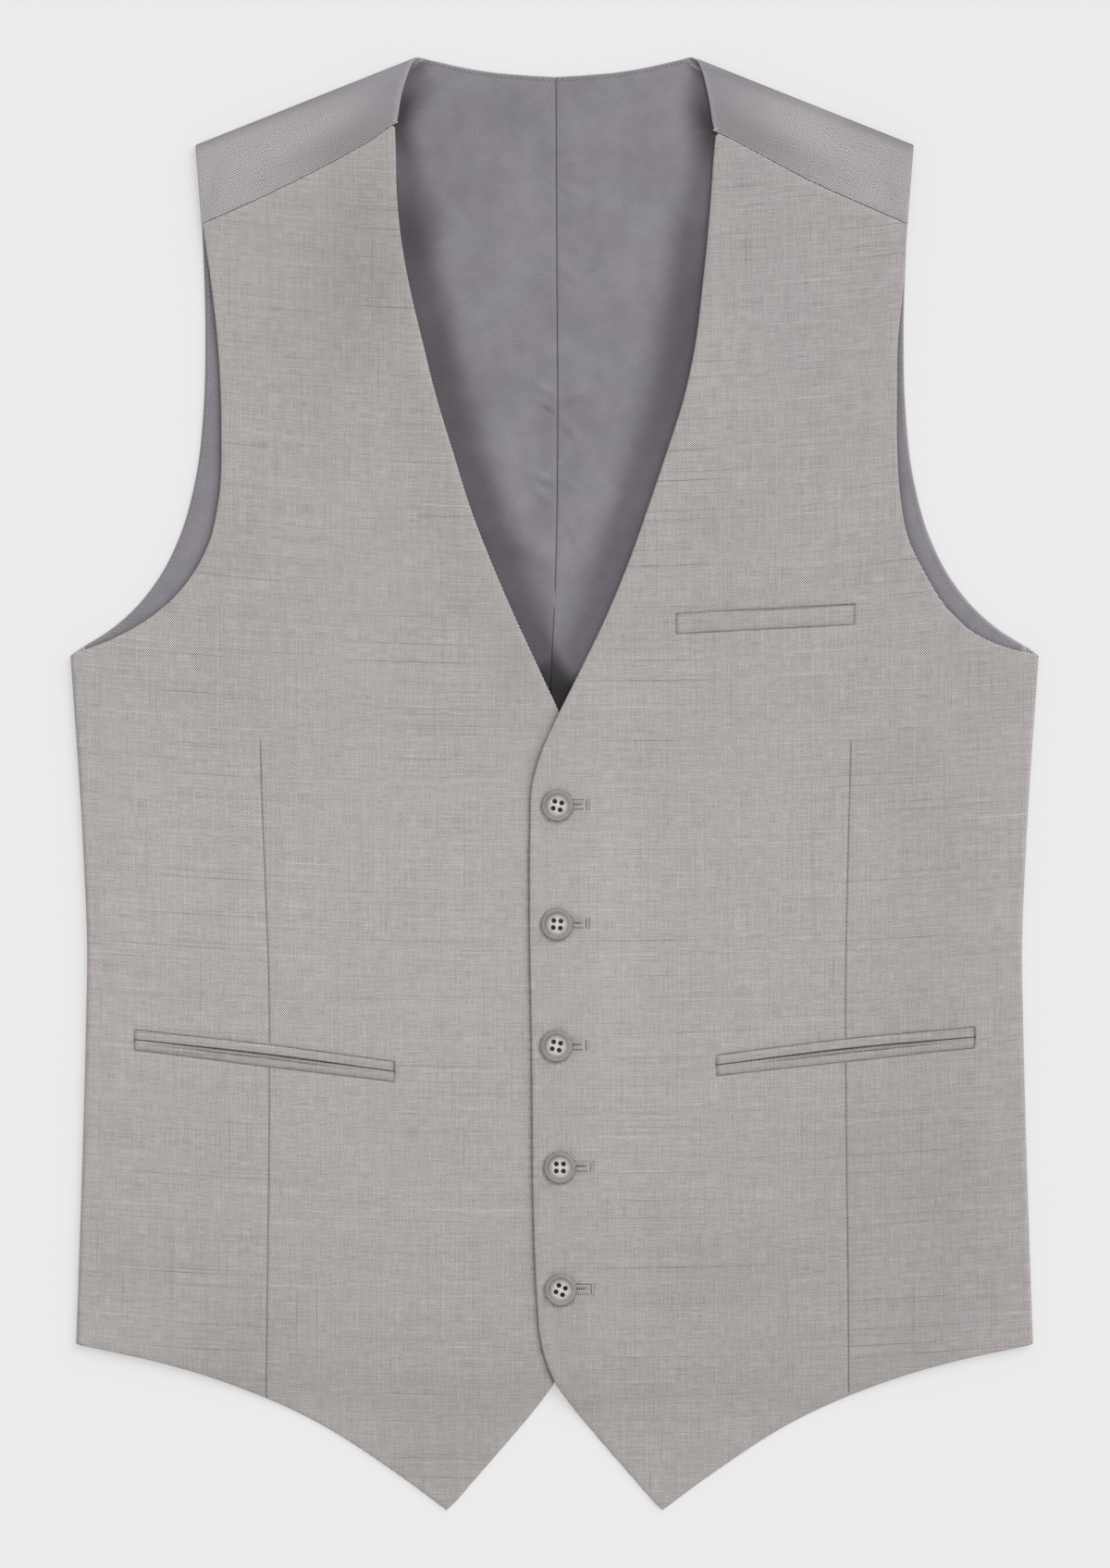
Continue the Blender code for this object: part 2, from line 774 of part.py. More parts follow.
def button_mesh():
    """Turned button with a raised rim round a shallow dish."""
    form = bmesh.new()
    corners = []
    for radius, height in zip(BUTTON_PROFILE["radius"], BUTTON_PROFILE["height"]):
        corners.append(form.verts.new((radius * MILLIMETRE, 0.0, height * MILLIMETRE)))
    edges = [form.edges.new(pair) for pair in zip(corners, corners[1:])]
    bmesh.ops.spin(
        form,
        geom=corners + edges,
        cent=(0.0, 0.0, 0.0),
        axis=(0.0, 0.0, 1.0),
        angle=2 * math.pi,
        steps=BUTTON_SIDES,
        use_merge=True,
    )
    bmesh.ops.remove_doubles(form, verts=form.verts, dist=MERGE_DISTANCE)
    bmesh.ops.recalc_face_normals(form, faces=form.faces)
    mesh = bpy.data.meshes.new("button")
    form.to_mesh(mesh)
    form.free()
    mesh.shade_smooth()
    mesh.set_sharp_from_angle(angle=SHARP_EDGE)
    return mesh


def button_cutter_mesh():
    """Four round bars that cut a button's holes."""
    form = bmesh.new()
    for across in (-0.5, 0.5):
        for up in (-0.5, 0.5):
            bar = bmesh.ops.create_cone(
                form,
                cap_ends=True,
                segments=BUTTON_HOLE_SIDES,
                radius1=BUTTON_HOLE_RADIUS * MILLIMETRE,
                radius2=BUTTON_HOLE_RADIUS * MILLIMETRE,
                depth=BUTTON_CUTTER_LENGTH * MILLIMETRE,
            )
            centre = Vector((across, up, 0.0)) * BUTTON_HOLE_SPACING * MILLIMETRE
            bmesh.ops.translate(form, verts=bar["verts"], vec=centre)
    mesh = bpy.data.meshes.new("button_cutter")
    form.to_mesh(mesh)
    form.free()
    return mesh


def add_buttons(finish):
    """Row of buttons on the left front, each turned as it was sewn."""
    mesh = button_mesh()
    mesh.materials.append(finish)
    cutter_mesh = button_cutter_mesh()
    level = FRONT_LEVEL + OVERLAP_RISE + FRONT_THICKNESS / 2 + SEAM_GAP
    rows = zip(BUTTONS["across"], BUTTONS["height"], BUTTONS["turn"])
    for number, (across, height, turn) in enumerate(rows, start=1):
        button = bpy.data.objects.new(f"button_{number}", mesh)
        bpy.context.scene.collection.objects.link(button)
        button.location = Vector((across, height, level)) * MILLIMETRE
        button.rotation_euler.z = -math.radians(turn)
        cutter = bpy.data.objects.new(f"button_{number}_cutter", cutter_mesh)
        bpy.context.scene.collection.objects.link(cutter)
        cutter.parent = button
        cutter.hide_render = True
        cutter.display_type = "WIRE"
        holes = button.modifiers.new("holes", "BOOLEAN")
        holes.operation = "DIFFERENCE"
        holes.solver = "EXACT"
        holes.object = cutter


def build():
    """Clear the scene and make every piece of the waistcoat."""
    for piece in list(bpy.data.objects):
        bpy.data.objects.remove(piece, do_unlink=True)

    suiting = material("suiting", (0.40, 0.38, 0.36), 0.85, sheen=0.2)
    jetting = material("jetting", (0.37, 0.355, 0.335), 0.85, sheen=0.2)
    satin = material("satin", (0.35, 0.325, 0.345), 0.45, sheen=0.1)
    lining_satin = material("lining_satin", (0.24, 0.225, 0.25), 0.4, sheen=0.1)
    horn = material("horn", (0.33, 0.31, 0.29), 0.35)

    for name, side in (("left", LEFT), ("right", RIGHT)):
        add_back(f"back_{name}", side, satin)
        add_lining(f"back_lining_{name}", side, lining_satin)
        add_front(f"front_{name}", side, suiting)
        add_hip_jets(f"hip_jet_{name}", side, jetting)
    add_chest_welt("chest_welt", jetting)
    add_buttons(horn)


build()
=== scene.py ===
"""Looks of the suit waistcoat: cloth, seams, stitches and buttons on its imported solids, light and view.

Each cloth piece is cut in the flat and laid on the form of its solid, with rounded edges, seams and
soft swells. Lengths are millimetres until a mesh is made. +X is the wearer's left, +Y runs from the
hem to the neck and +Z is up. A piece of either side is drawn in its own coordinates: "own" is the
distance from the centre line towards that side and "height" is the place along Y.
"""

import math

import bmesh
import bpy
import numpy as np
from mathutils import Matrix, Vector
from mathutils.geometry import delaunay_2d_cdt
from mathutils.kdtree import KDTree


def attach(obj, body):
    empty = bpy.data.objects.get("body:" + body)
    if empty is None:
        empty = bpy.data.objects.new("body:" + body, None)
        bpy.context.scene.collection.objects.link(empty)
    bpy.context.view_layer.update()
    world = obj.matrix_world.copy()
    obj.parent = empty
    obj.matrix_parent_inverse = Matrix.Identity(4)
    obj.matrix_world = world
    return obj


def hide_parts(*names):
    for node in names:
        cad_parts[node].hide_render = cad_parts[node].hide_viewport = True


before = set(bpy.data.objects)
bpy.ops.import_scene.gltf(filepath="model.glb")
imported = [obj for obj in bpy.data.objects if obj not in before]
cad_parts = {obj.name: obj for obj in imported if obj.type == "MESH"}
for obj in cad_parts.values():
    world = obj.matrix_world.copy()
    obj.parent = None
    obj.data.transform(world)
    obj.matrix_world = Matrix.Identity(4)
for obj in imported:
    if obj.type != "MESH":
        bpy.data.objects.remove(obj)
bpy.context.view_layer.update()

MILLIMETRE = 0.001
LEFT = 1
RIGHT = -1
SIDES = (("left", LEFT), ("right", RIGHT))


def table(columns, *rows):
    """Table with named columns, kept as one array for each column."""
    return {name: np.array(column, dtype=float) for name, column in zip(columns.split(), zip(*rows))}


def mounds(*rows):
    """Table of soft mounds: their middles, half sizes, the turn of their long side and their amount."""
    return table("across  height  length  width  turn  amount", *rows)


def picked(rows, columns):
    """Rows of a table with some of its columns."""
    return zip(*(rows[name] for name in columns.split()))


# Cloth and its levels above the floor, as in the solids.
SEAM_GAP = 0.3
STRIP_SEAM_INSIDE = 0.03
FRONT_THICKNESS = 1.5
SATIN_THICKNESS = 1.0
BACK_LEVEL = SATIN_THICKNESS / 2
LINING_LEVEL = BACK_LEVEL + SATIN_THICKNESS + SEAM_GAP
FRONT_LEVEL = LINING_LEVEL + SATIN_THICKNESS / 2 + SEAM_GAP + FRONT_THICKNESS / 2
OVERLAP_RISE = FRONT_THICKNESS + SEAM_GAP

# Fold of the fronts round the garment's sides.
SIDE_FOLD_RADIUS = (FRONT_LEVEL - FRONT_THICKNESS / 2) / 2
SIDE_FOLD_REACH = SIDE_FOLD_RADIUS + FRONT_THICKNESS / 2
SIDE_SEAM_INSIDE = 6.0
SIDE_SETTLE = 20.0
SIDE_LINE = table(
    "height  half_width",
    (59.6, 225.1),
    (30, 223),
    (0, 220.9),
    (-35, 218.9),
    (-80, 217.3),
    (-110, 217.8),
    (-155, 218.9),
    (-200, 220.3),
    (-260.8, 222.4),
)
UNDERARM_HEIGHT = 59.6
UNDERARM_SEAM_HEIGHT = 63.5
SIDE_HEM_HEIGHT = -260.8

# Shoulder fold, and the seam between the turned-over back and the front.
NECK_POINT = np.array((63.8, 337.7))
SHOULDER_TIP = np.array((167.0, 296.6))
SHOULDER_ALONG = (SHOULDER_TIP - NECK_POINT) / np.linalg.norm(SHOULDER_TIP - NECK_POINT)
SHOULDER_OUT = np.array((-SHOULDER_ALONG[1], SHOULDER_ALONG[0]))
SHOULDER_FOLD_RADIUS = (FRONT_LEVEL - BACK_LEVEL) / 2
SHOULDER_FOLD_REACH = SHOULDER_FOLD_RADIUS + SATIN_THICKNESS / 2
STRIP_NECK_EDGE = {
    LEFT: table(
        "own  height",
        (66.6, 335.2),
        (68.6, 330.5),
        (70.3, 324),
        (72, 315.8),
        (73.3, 307.2),
        (74.2, 302.9),
    ),
    RIGHT: table(
        "own  height",
        (66.2, 334.6),
        (67.8, 330.5),
        (69.4, 325.8),
        (70.8, 321.1),
        (71.9, 315.6),
        (72.6, 310.4),
        (73.4, 306.6),
    ),
}
SHOULDER_SEAM = {
    LEFT: table(
        "own  height",
        (74.2, 302.9),
        (80.1, 300.4),
        (94, 293.1),
        (115.5, 281.6),
        (139, 270.8),
        (163.9, 260),
    ),
    RIGHT: table(
        "own  height",
        (73.4, 306.6),
        (78, 304.4),
        (83.7, 300),
        (94, 293.9),
        (115.5, 282.4),
        (139, 270.9),
        (163.9, 260),
    ),
}

# Outlines of the back and its lining.
BACK_NECK = table(
    "own  height",
    (0, 328.4),
    (14.8, 329.3),
    (30, 330.7),
    (43, 332.9),
    (51.6, 334.8),
    (63.8, 337.7),
)
BACK_ARMHOLE = table(
    "own  height",
    (167, 296.6),
    (165.7, 280),
    (164.2, 260.8),
    (163, 236),
    (162.4, 205),
    (163.2, 174.8),
    (166.5, 144),
    (174.4, 114.6),
    (182.8, 97.4),
    (196.3, 80.2),
    (206.6, 71.4),
    (219, 63.6),
)
BACK_HEM_CENTRE = -268.5
BACK_HEM_RISE = 8.0
BACK_HEM_HALF_WIDTH = 222.0
LINING_INSET = 0.6
LINING_FROM_SHOULDER = 2.4
LINING_FROM_SIDE = 8.0
LINING_HEM_INSIDE = 8.0
LINING_SEAM = table(
    "height  across",
    (330, 0.6),
    (228, 1.1),
    (170, 1.4),
    (90, 0.2),
    (47, -1.9),
    (-270, 0),
)

# Outlines of the fronts.
FRONT_EDGE = table(
    "height  left  right",
    (307, 75.5, 74.2),
    (291, 73.8, 73.7),
    (279, 73, 73.5),
    (257, 71.3, 71.8),
    (229, 68.4, 67),
    (205, 65.5, 61.3),
    (179, 60, 54.8),
    (153, 51.8, 46.9),
    (127, 43, 38.8),
    (102, 34.1, 29.1),
    (76, 23.3, 17.9),
    (50, 10.7, 5.8),
    (28, -0.2, -4),
    (11, -7.4, -8.6),
    (-1, -10.5, -10.6),
    (-22, -11.4, -11.4),
    (-60, -11.6, -11.6),
    (-133, -10.5, -10.5),
    (-201, -9.8, -9.8),
    (-242, -8.1, -8.1),
    (-257, -6.8, -6.8),
    (-267.5, -4.4, -4.4),
    (-279.7, 0.6, 0.6),
)
NOTCH_HEIGHT = -279.7
FRONT_CUTAWAY = table(
    "own  height",
    (0.6, -279.7),
    (8, -289.7),
    (21.3, -305.6),
    (37.3, -324),
    (48, -336),
    (50.2, -338),
)
FRONT_HEM = table(
    "own  height",
    (50.2, -338),
    (58.4, -331.9),
    (65.3, -326.7),
    (72.9, -321.3),
    (111.6, -296.5),
    (150.3, -279.6),
    (189, -268),
    (206.5, -264.2),
    (222.4, -260.8),
)
FRONT_ARMHOLE = {
    LEFT: table(
        "own  height",
        (225.1, 59.6),
        (209.8, 63.1),
        (192.4, 71.6),
        (183.3, 80.2),
        (172.2, 97.4),
        (164.1, 114.6),
        (160.9, 131.4),
        (159.4, 150),
        (159.2, 180),
        (159.5, 204),
        (161.8, 228),
        (163.9, 260),
    ),
    RIGHT: table(
        "own  height",
        (225.1, 59.6),
        (204.8, 67.3),
        (188.2, 76.8),
        (172.4, 91.4),
        (160.9, 111.2),
        (156.2, 131.8),
        (155, 166),
        (156.3, 200),
        (159.7, 232),
        (163.7, 260),
    ),
}
COLUMN = {LEFT: "left", RIGHT: "right"}

# Rises and falls of the fronts.
NECK_LIFT = 2.2
NECK_LIFT_WIDTH = 18.0
NECK_LIFT_FADE = (36.0, 84.0, 236.0, 300.0)
OVERLAP_FLAT = 14.0
OVERLAP_END = 42.0
OVERLAP_TOP = (36.0, 90.0)
OVERLAP_BOTTOM = (-302.0, -281.0)
DRAPE_LENGTH = 28.0

# Soft swells of the cloth: how far each one rises.
FRONT_SWELLS = mounds(
    (-112, 262, 46, 16, -24, 0.7),
    (-104, 172, 70, 17, 82, 0.7),
    (-138, 120, 60, 15, 62, 0.5),
    (-52, 74, 36, 13, 58, 0.8),
    (-96, 40, 44, 15, -12, 0.5),
    (-178, -20, 60, 16, 78, 0.6),
    (-184, -212, 52, 14, 18, 0.7),
    (-88, -208, 60, 15, -8, 0.5),
    (-100, -262, 40, 11, 24, 0.6),
    (-46, -292, 30, 10, 48, 0.4),
    (112, 232, 52, 16, -68, 0.6),
    (118, 158, 62, 15, 64, 0.6),
    (92, 92, 40, 11, 12, 0.8),
    (70, 38, 46, 13, 30, 0.6),
    (176, 10, 60, 16, -70, 0.6),
    (86, -60, 66, 17, 84, 0.4),
    (196, -170, 58, 15, 76, 0.8),
    (92, -206, 62, 15, -10, 0.6),
    (190, -236, 40, 13, 40, 0.6),
    (56, -286, 34, 11, -50, 0.4),
)
LINING_SWELLS = mounds(
    (-40, 300, 34, 9, 12, 0.5),
    (-42, 252, 30, 10, 34, 0.6),
    (22, 296, 26, 12, -20, 0.5),
    (30, 262, 24, 9, -14, 0.4),
    (-24, 204, 26, 8, 18, 0.4),
    (-20, 190, 22, 7, -10, 0.7),
    (24, 212, 24, 8, -28, 0.5),
    (-14, 150, 18, 6, 24, 0.4),
    (16, 140, 20, 6, -40, 0.4),
    (-10, 108, 16, 6, -24, 0.7),
    (12, 100, 18, 5, 62, 0.4),
)
# Small puckers that the lining's centre seam draws in.
LINING_PUCKERS = mounds(
    (8, 289, 6, 1.6, 8, 0.25),
    (8.5, 282, 7, 1.6, -12, 0.3),
    (8, 275, 7, 1.5, -34, 0.3),
    (6, 262, 6, 1.7, -52, 0.25),
    (7, 236, 7, 1.8, -36, 0.3),
    (-5, 198, 7, 1.6, 30, 0.45),
    (5, 200, 7, 1.7, 24, 0.45),
    (-7, 191, 8, 1.7, 44, 0.45),
    (8, 190, 8, 1.8, 36, 0.4),
    (-5, 183, 7, 1.6, -28, 0.5),
    (6, 179, 9, 1.8, 18, 0.45),
    (7, 165, 8, 1.7, -50, 0.35),
    (11, 157, 7, 1.6, -62, 0.3),
    (-8, 143, 7, 1.7, -22, 0.5),
    (-6, 134, 7, 1.5, -48, 0.45),
    (8, 138, 8, 1.8, -34, 0.35),
    (9, 116, 9, 1.7, -66, 0.3),
    (-4, 96, 6, 1.5, 20, 0.25),
    (5, 74, 7, 1.6, -30, 0.2),
)

# Painted shade and light of the cloth: broad on the fronts, by the puckers on the lining, and the sheen of
# the strips. Each row is the share by which a place is darker, or lighter below 0.
FRONT_SHADES = mounds(
    (-30, -50, 200, 95, 0, -0.055),
    (0, -280, 260, 46, 0, 0.06),
    (-92, 250, 56, 34, 70, 0.09),
    (-95, 205, 46, 16, 80, 0.05),
    (-96, 270, 20, 12, 0, 0.04),
    (-150, 161, 26, 18, 0, -0.03),
    (-180, 64, 16, 11, 0, -0.05),
    (-185, -117, 24, 14, 0, -0.045),
    (-100, -60, 130, 70, 90, -0.014),
    (206, -226, 20, 13, 0, 0.05),
    (-43, 78, 12, 9, 0, 0.03),
    (-16, 48, 18, 11, 60, 0.04),
    (-193, -36, 60, 22, 86, -0.06),
    (-144, -258, 24, 16, 0, 0.05),
    (-193, -216, 28, 22, 40, 0.03),
    (-50, -318, 30, 24, 0, 0.05),
    (92, 262, 50, 30, 80, 0.06),
    (128, 216, 60, 24, 80, 0.03),
    (80, 118, 22, 12, 0, 0.05),
    (96, 78, 30, 8, 0, 0.05),
    (176, -40, 120, 26, 86, 0.035),
    (150, -190, 70, 50, 60, 0.06),
    (196, -189, 50, 22, 84, 0.07),
    (54, -228, 52, 15, 0, 0.05),
    (168, -262, 26, 16, 20, 0.05),
)
# How much more or less clearly the ribs of the twill show.
FRONT_CLEARNESS = mounds(
    (112, 244, 110, 66, 90, -0.66),
    (136, 136, 100, 58, 90, -0.5),
    (-84, 84, 46, 40, 0, -0.48),
    (118, 10, 150, 66, 86, 0.56),
    (88, -214, 76, 60, 0, 0.42),
    (204, -60, 180, 27, 90, -0.65),
    (164, -252, 46, 50, 90, -0.58),
    (-136, -262, 44, 18, 0, -0.25),
    (20, -110, 170, 34, 90, -0.22),
    (-120, 240, 100, 50, 90, -0.56),
    (-62, 104, 34, 22, 80, -0.3),
    (-140, -60, 140, 28, 90, 0.42),
    (-60, -222, 84, 44, 0, 0.4),
    (-202, -80, 200, 24, 90, -0.5),
    (-168, -250, 48, 28, 0, -0.5),
    (0, -280, 26, 20, 0, -0.5),
)
# Painted shade of the lining's puckers, and broad painted shade and light on it.
LINING_SHADES = mounds(
    (-36, 311, 32, 12, 4, 0.13),
    (-41, 277, 24, 9, 18, 0.1),
    (-30, 183, 18, 9, 70, 0.08),
    (-5.4, 193.3, 7, 2.6, 56, 0.11),
    (-10, 196, 14, 5, 40, 0.05),
    (-2.6, 173.6, 4.2, 1, -34, 0.28),
    (-4.4, 176.2, 4.6, 1, -34, -0.06),
    (-5, 175.5, 5, 2, -20, 0.08),
    (-4.4, 165, 9, 4.4, 84, 0.1),
    (6.2, 176.2, 4, 1.2, 38, 0.12),
    (6, 163, 7, 2, 4, 0.04),
    (-3.8, 147.6, 6, 1.8, 36, 0.08),
    (-4, 139.2, 5, 1.7, -10, 0.18),
    (-4.6, 131.6, 6, 3.4, 60, 0.12),
    (-9, 118, 14, 7, 60, 0.1),
    (-12, 104, 14, 6, -30, 0.1),
    (22, 312, 22, 10, -16, 0.05),
    (8, 283, 12, 3.5, -14, 0.08),
    (7, 262, 9, 3, -42, 0.07),
    (26, 218, 30, 7, 4, 0.08),
    (8, 178, 12, 4, -50, 0.09),
    (10, 150, 14, 5, 66, 0.06),
    (20, 120, 30, 8, 70, -0.08),
    (30, 262, 40, 14, -80, -0.05),
    (-20, 240, 34, 13, 80, -0.04),
    (-20, 146, 30, 8, -74, -0.06),
)
# Painted sheen and shade of the shoulder strips.
STRIP_SHADES = mounds(
    (-103, 309, 36, 7, 33, -0.13),
    (-146, 280, 26, 8, 24, -0.05),
    (-94, 299, 26, 9, 25, 0.05),
    (-76, 323, 14, 5, 22, 0.075),
    (-101, 288, 24, 5, 24, 0.07),
    (-113, 294, 26, 8, 22, 0.035),
    (-122, 288, 34, 8, 22, 0.11),
    (-159, 272, 12, 3, 80, 0.1),
    (118, 300, 44, 8, -33, -0.13),
    (150, 272, 24, 8, -24, -0.04),
    (97, 296, 26, 10, -28, 0.11),
    (104, 317.5, 12, 3, -22, -0.05),
    (113, 294, 26, 8, -22, 0.035),
    (124, 288, 34, 8, -22, 0.1),
    (158, 270, 12, 3, -80, 0.08),
)
# Shade that the fronts cast on the lining: even to the first distance, gone at the second.
LINING_SHADOW = {
    LEFT: table(
        "height  even  end  depth",
        (337, 0, 5.5, 0.94),
        (333, 0, 7.5, 0.93),
        (329, 0, 9.5, 0.66),
        (324, 0, 12.5, 0.63),
        (317, 0, 17.5, 0.74),
        (309, 0, 18, 0.93),
        (302, 0, 18.5, 0.9),
        (294, 0, 17, 0.77),
        (287, 1, 18, 0.56),
        (279, 4.5, 18, 0.47),
        (264, 6, 25, 0.43),
        (256, 8.5, 25.5, 0.48),
        (241, 8.5, 23.5, 0.51),
        (211, 7, 29, 0.59),
        (181, 7, 28, 0.58),
        (151, 10.5, 25.5, 0.48),
        (106, 9, 25.5, 0.46),
        (76, 7, 25, 0.43),
        (40, 9, 26, 0.45),
    ),
    RIGHT: table(
        "height  even  end  depth",
        (336, 0, 11, 0.7),
        (333, 0, 12, 0.7),
        (329, 0, 14.5, 0.58),
        (324, 0, 22, 0.55),
        (317, 0, 17, 0.875),
        (309, 0, 13, 0.955),
        (302, 0, 15, 0.85),
        (287, 5.5, 17, 0.51),
        (272, 5, 26, 0.6),
        (256, 5, 29, 0.74),
        (249, 7, 24, 0.71),
        (241, 8, 21.5, 0.64),
        (226, 7.5, 25, 0.58),
        (196, 7.5, 24.5, 0.62),
        (151, 7, 24, 0.555),
        (121, 8, 25, 0.55),
        (91, 6, 29, 0.54),
        (76, 7.5, 23, 0.6),
        (40, 8, 22, 0.62),
    ),
}
# Share of that shade that is missing right beside the edge, where the light reaches under it.
SHADOW_LIT = 0.43
SHADOW_LIT_WIDTH = 2.0
SHADOW_LIT_TOP = (245.0, 275.0)
# Stretch under and beside the front's edge over which the shade sets in.
SHADOW_START = (-12.0, 4.0)
# Painted shade in the bottom of the neck opening: how dark it is, how it leans to each side and how far it
# reaches.
NECK_BOTTOM = (52.0, 74.0)
NECK_BOTTOM_DARK = 0.89
NECK_DEEPEST = (42.0, 52.0)
NECK_DEEPEST_DARKER = 0.08
NECK_BOTTOM_LEAN = {LEFT: 1.2, RIGHT: 0.45}
NECK_BOTTOM_REACH = 60.0
# Shade on the lining in the armholes, and along the back neck's edge.
ARMHOLE_SHADE = 0.35
ARMHOLE_SHADE_END = (-0.5, 4.0)
ARMHOLE_SHADE_FROM = 140.0
NECK_RIM_SHADE = 0.3
NECK_RIM_END = (0.5, 1.1)

# Painted sheen of the shoulder strips, as painted shade: how it falls off between two places along the
# shoulder.
STRIP_FALLING = {LEFT: (0.285, 16.0, 70.0), RIGHT: (0.255, 22.0, 84.0)}
# Painted shade on their fold: its least amount, what it gains between places along it, and the amount on its
# line.
STRIP_FOLD = {
    LEFT: (0.08, ((0.27, 0.0, 56.0), (0.12, 66.0, 86.0)), 0.23),
    RIGHT: (0.02, ((0.31, 16.0, 72.0),), 0.17),
}
STRIP_FOLD_WIDTH = 2.9
STRIP_FOLD_LINE_WIDTH = 1.1
# Painted highlight along the strips' neck edge.
STRIP_RIM_LIGHT = 0.16
STRIP_RIM_END = (0.4, 1.1)
STRIP_SHADE_START = (-3.5, -1.5)

# Shade under the left front's edge: amounts and widths, and its broader form at the top.
EDGE_SHADE = ((0.32, 0.5), (0.03, 1.8))
EDGE_TOP = (-16.0, 8.0)
EDGE_TOP_LOSS = 0.6
EDGE_TOP_SHADE = 0.23
EDGE_TOP_WIDTH = 3.3
EDGE_SHADE_END = (35.0, 46.0)

# Shade under a button, and the light on the cloth beside it.
BUTTON_SHADE = 0.8
BUTTON_SHADE_END = (4.0, 6.2)
BUTTON_GLOW = 0.66
BUTTON_GLOW_TOWARDS = (-0.75, -0.66)
BUTTON_GLOW_RADIUS = 8.1
BUTTON_GLOW_WIDTH = 1.4

# Darts.
DART = table(
    "height  left  right",
    (23, 137.7, 136.9),
    (-6, 137, 136.1),
    (-96, 135.1, 132.8),
    (-156, 135.4, 132.7),
    (-229, 136.2, 133.5),
    (-292, 136.7, 134.3),
)
DART_TOP = 22.0
DART_DEPTH = 0.55
DART_HALF_WIDTH = 0.26
DART_HOLLOW = 0.16
DART_HOLLOW_WIDTH = 2.4
DART_DARK = 0.75
DART_DARK_WIDTH = 0.32
DART_OFFSETS = (-2.4, -1.2, -0.6, -0.3, 0.0, 0.3, 0.6, 1.2, 2.4)

# Hip pockets: the slit between two jets.
HIP_SLIT = table(
    "own  left  right",
    (75.2, -131, -133.9),
    (135, -123.5, -125.9),
    (195.3, -118, -119.2),
)
JET_WIDTH = 4.6
# How much broader the lower jet is, at its ends and further in its middle.
LOWER_JET_BROADER = {LEFT: (0.5, 0.9), RIGHT: (0.3, 0.75)}
JET_REACH = {LEFT: 0.1, RIGHT: 0.8}
# Cross-section of a jet from its seam, at share 1, to its fold at the slit: its level, its darkness, which at
# the seam is the seam's own and at the fold and underneath is painted shade of the slit, and the painted
# shade where the slit gapes, with a painted highlight beside it.
JET_PROFILE = table(
    "share  level  dark  gape",
    (1, 0.02, 0.95, 0),
    (0.96, 0.12, 0.5, 0),
    (0.88, 0.5, 0, 0),
    (0.7, 0.72, 0, 0),
    (0.48, 0.84, 0, 0),
    (0.37, 0.84, 0, -0.14),
    (0.33, 0.81, 0, 1),
    (0.25, 0.81, 0, 1),
    (0.215, 0.84, 0, 0.36),
    (0.14, 0.86, 0, 0.36),
    (0.05, 0.78, 0.1, 0.45),
    (0, 0.55, 0.4, 0.4),
    (0.02, 0.1, 0.9, 0),
    (0.1, -0.15, 0.9, 0),
    (1, -0.15, 0.75, 0),
)
# Stretch of the slit, in shares of its length, over which it gapes and the lower jet takes painted shade.
JET_GAPE = (0.1, 0.35, 0.7, 0.98)
SLIT_OPENING = 0.52

# Chest pocket of the left front.
WELT_INNER = np.array((56.4, 69.3))
WELT_OUTER = np.array((139.5, 73.7))
WELT_WIDTH = 9.2
WELT_SWAY = 0.35
# Cross-section of the welt from its foot: offset, level and darkness, which at the foot is the seam's own and
# at the folded top and underneath is painted shade of the pocket's opening.
WELT_PROFILE = table(
    "offset  level  dark",
    (0, 0.02, 0.7),
    (0.2, 0.15, 0.3),
    (0.8, 0.55, 0),
    (2.4, 0.8, 0),
    (6.6, 0.95, 0),
    (8.2, 0.95, 0),
    (8.8, 0.8, 0.35),
    (9.2, 0.45, 0.8),
    (9.15, 0, 0.9),
    (8.6, -0.15, 0.9),
    (0, -0.15, 0.9),
)

# Seams and openings on the faces of the fronts: how deep, how wide and how dark they are. The darkness in the
# slits and the welt's open top is painted shade, and part of the seams' darkness is painted shade that
# differs between the seam above a slit and the one below.
SEAM_DEPTH = 0.28
SEAM_HALF_WIDTH = 0.3
SEAM_DARK_FACING_LIGHT = 0.95
SEAM_DARK_IN_LEE = 0.5
SLIT_DEPTH = 0.5
SLIT_DARK = 0.9
WELT_SEAM_DARK = 0.55
WELT_TOP_DEPTH = 0.4
WELT_TOP_DARK = 0.85
# How much painted shade darkens the upper seam of a jet beyond its profile, and how much painted light
# lightens the lower one.
JET_SEAM_FACING_LIGHT = 0.3
JET_SEAM_IN_LEE = -0.16
# Strips sewn on a front: their ends are rounded, darker and sunk into the cloth.
TRIM_END_RADIUS = 0.5
TRIM_END_DARK = 0.7
TRIM_SUNK = 0.2
# Distance inside the back's neck edge for each millimetre below it, because the edge is slanted.
NECK_TILT = 0.98
# Groove of the stitches inside the back's neck, with painted shade in it.
GROOVE_HALF_WIDTH = 0.5
GROOVE_DEPTH = 0.14
GROOVE_DARK = 0.45

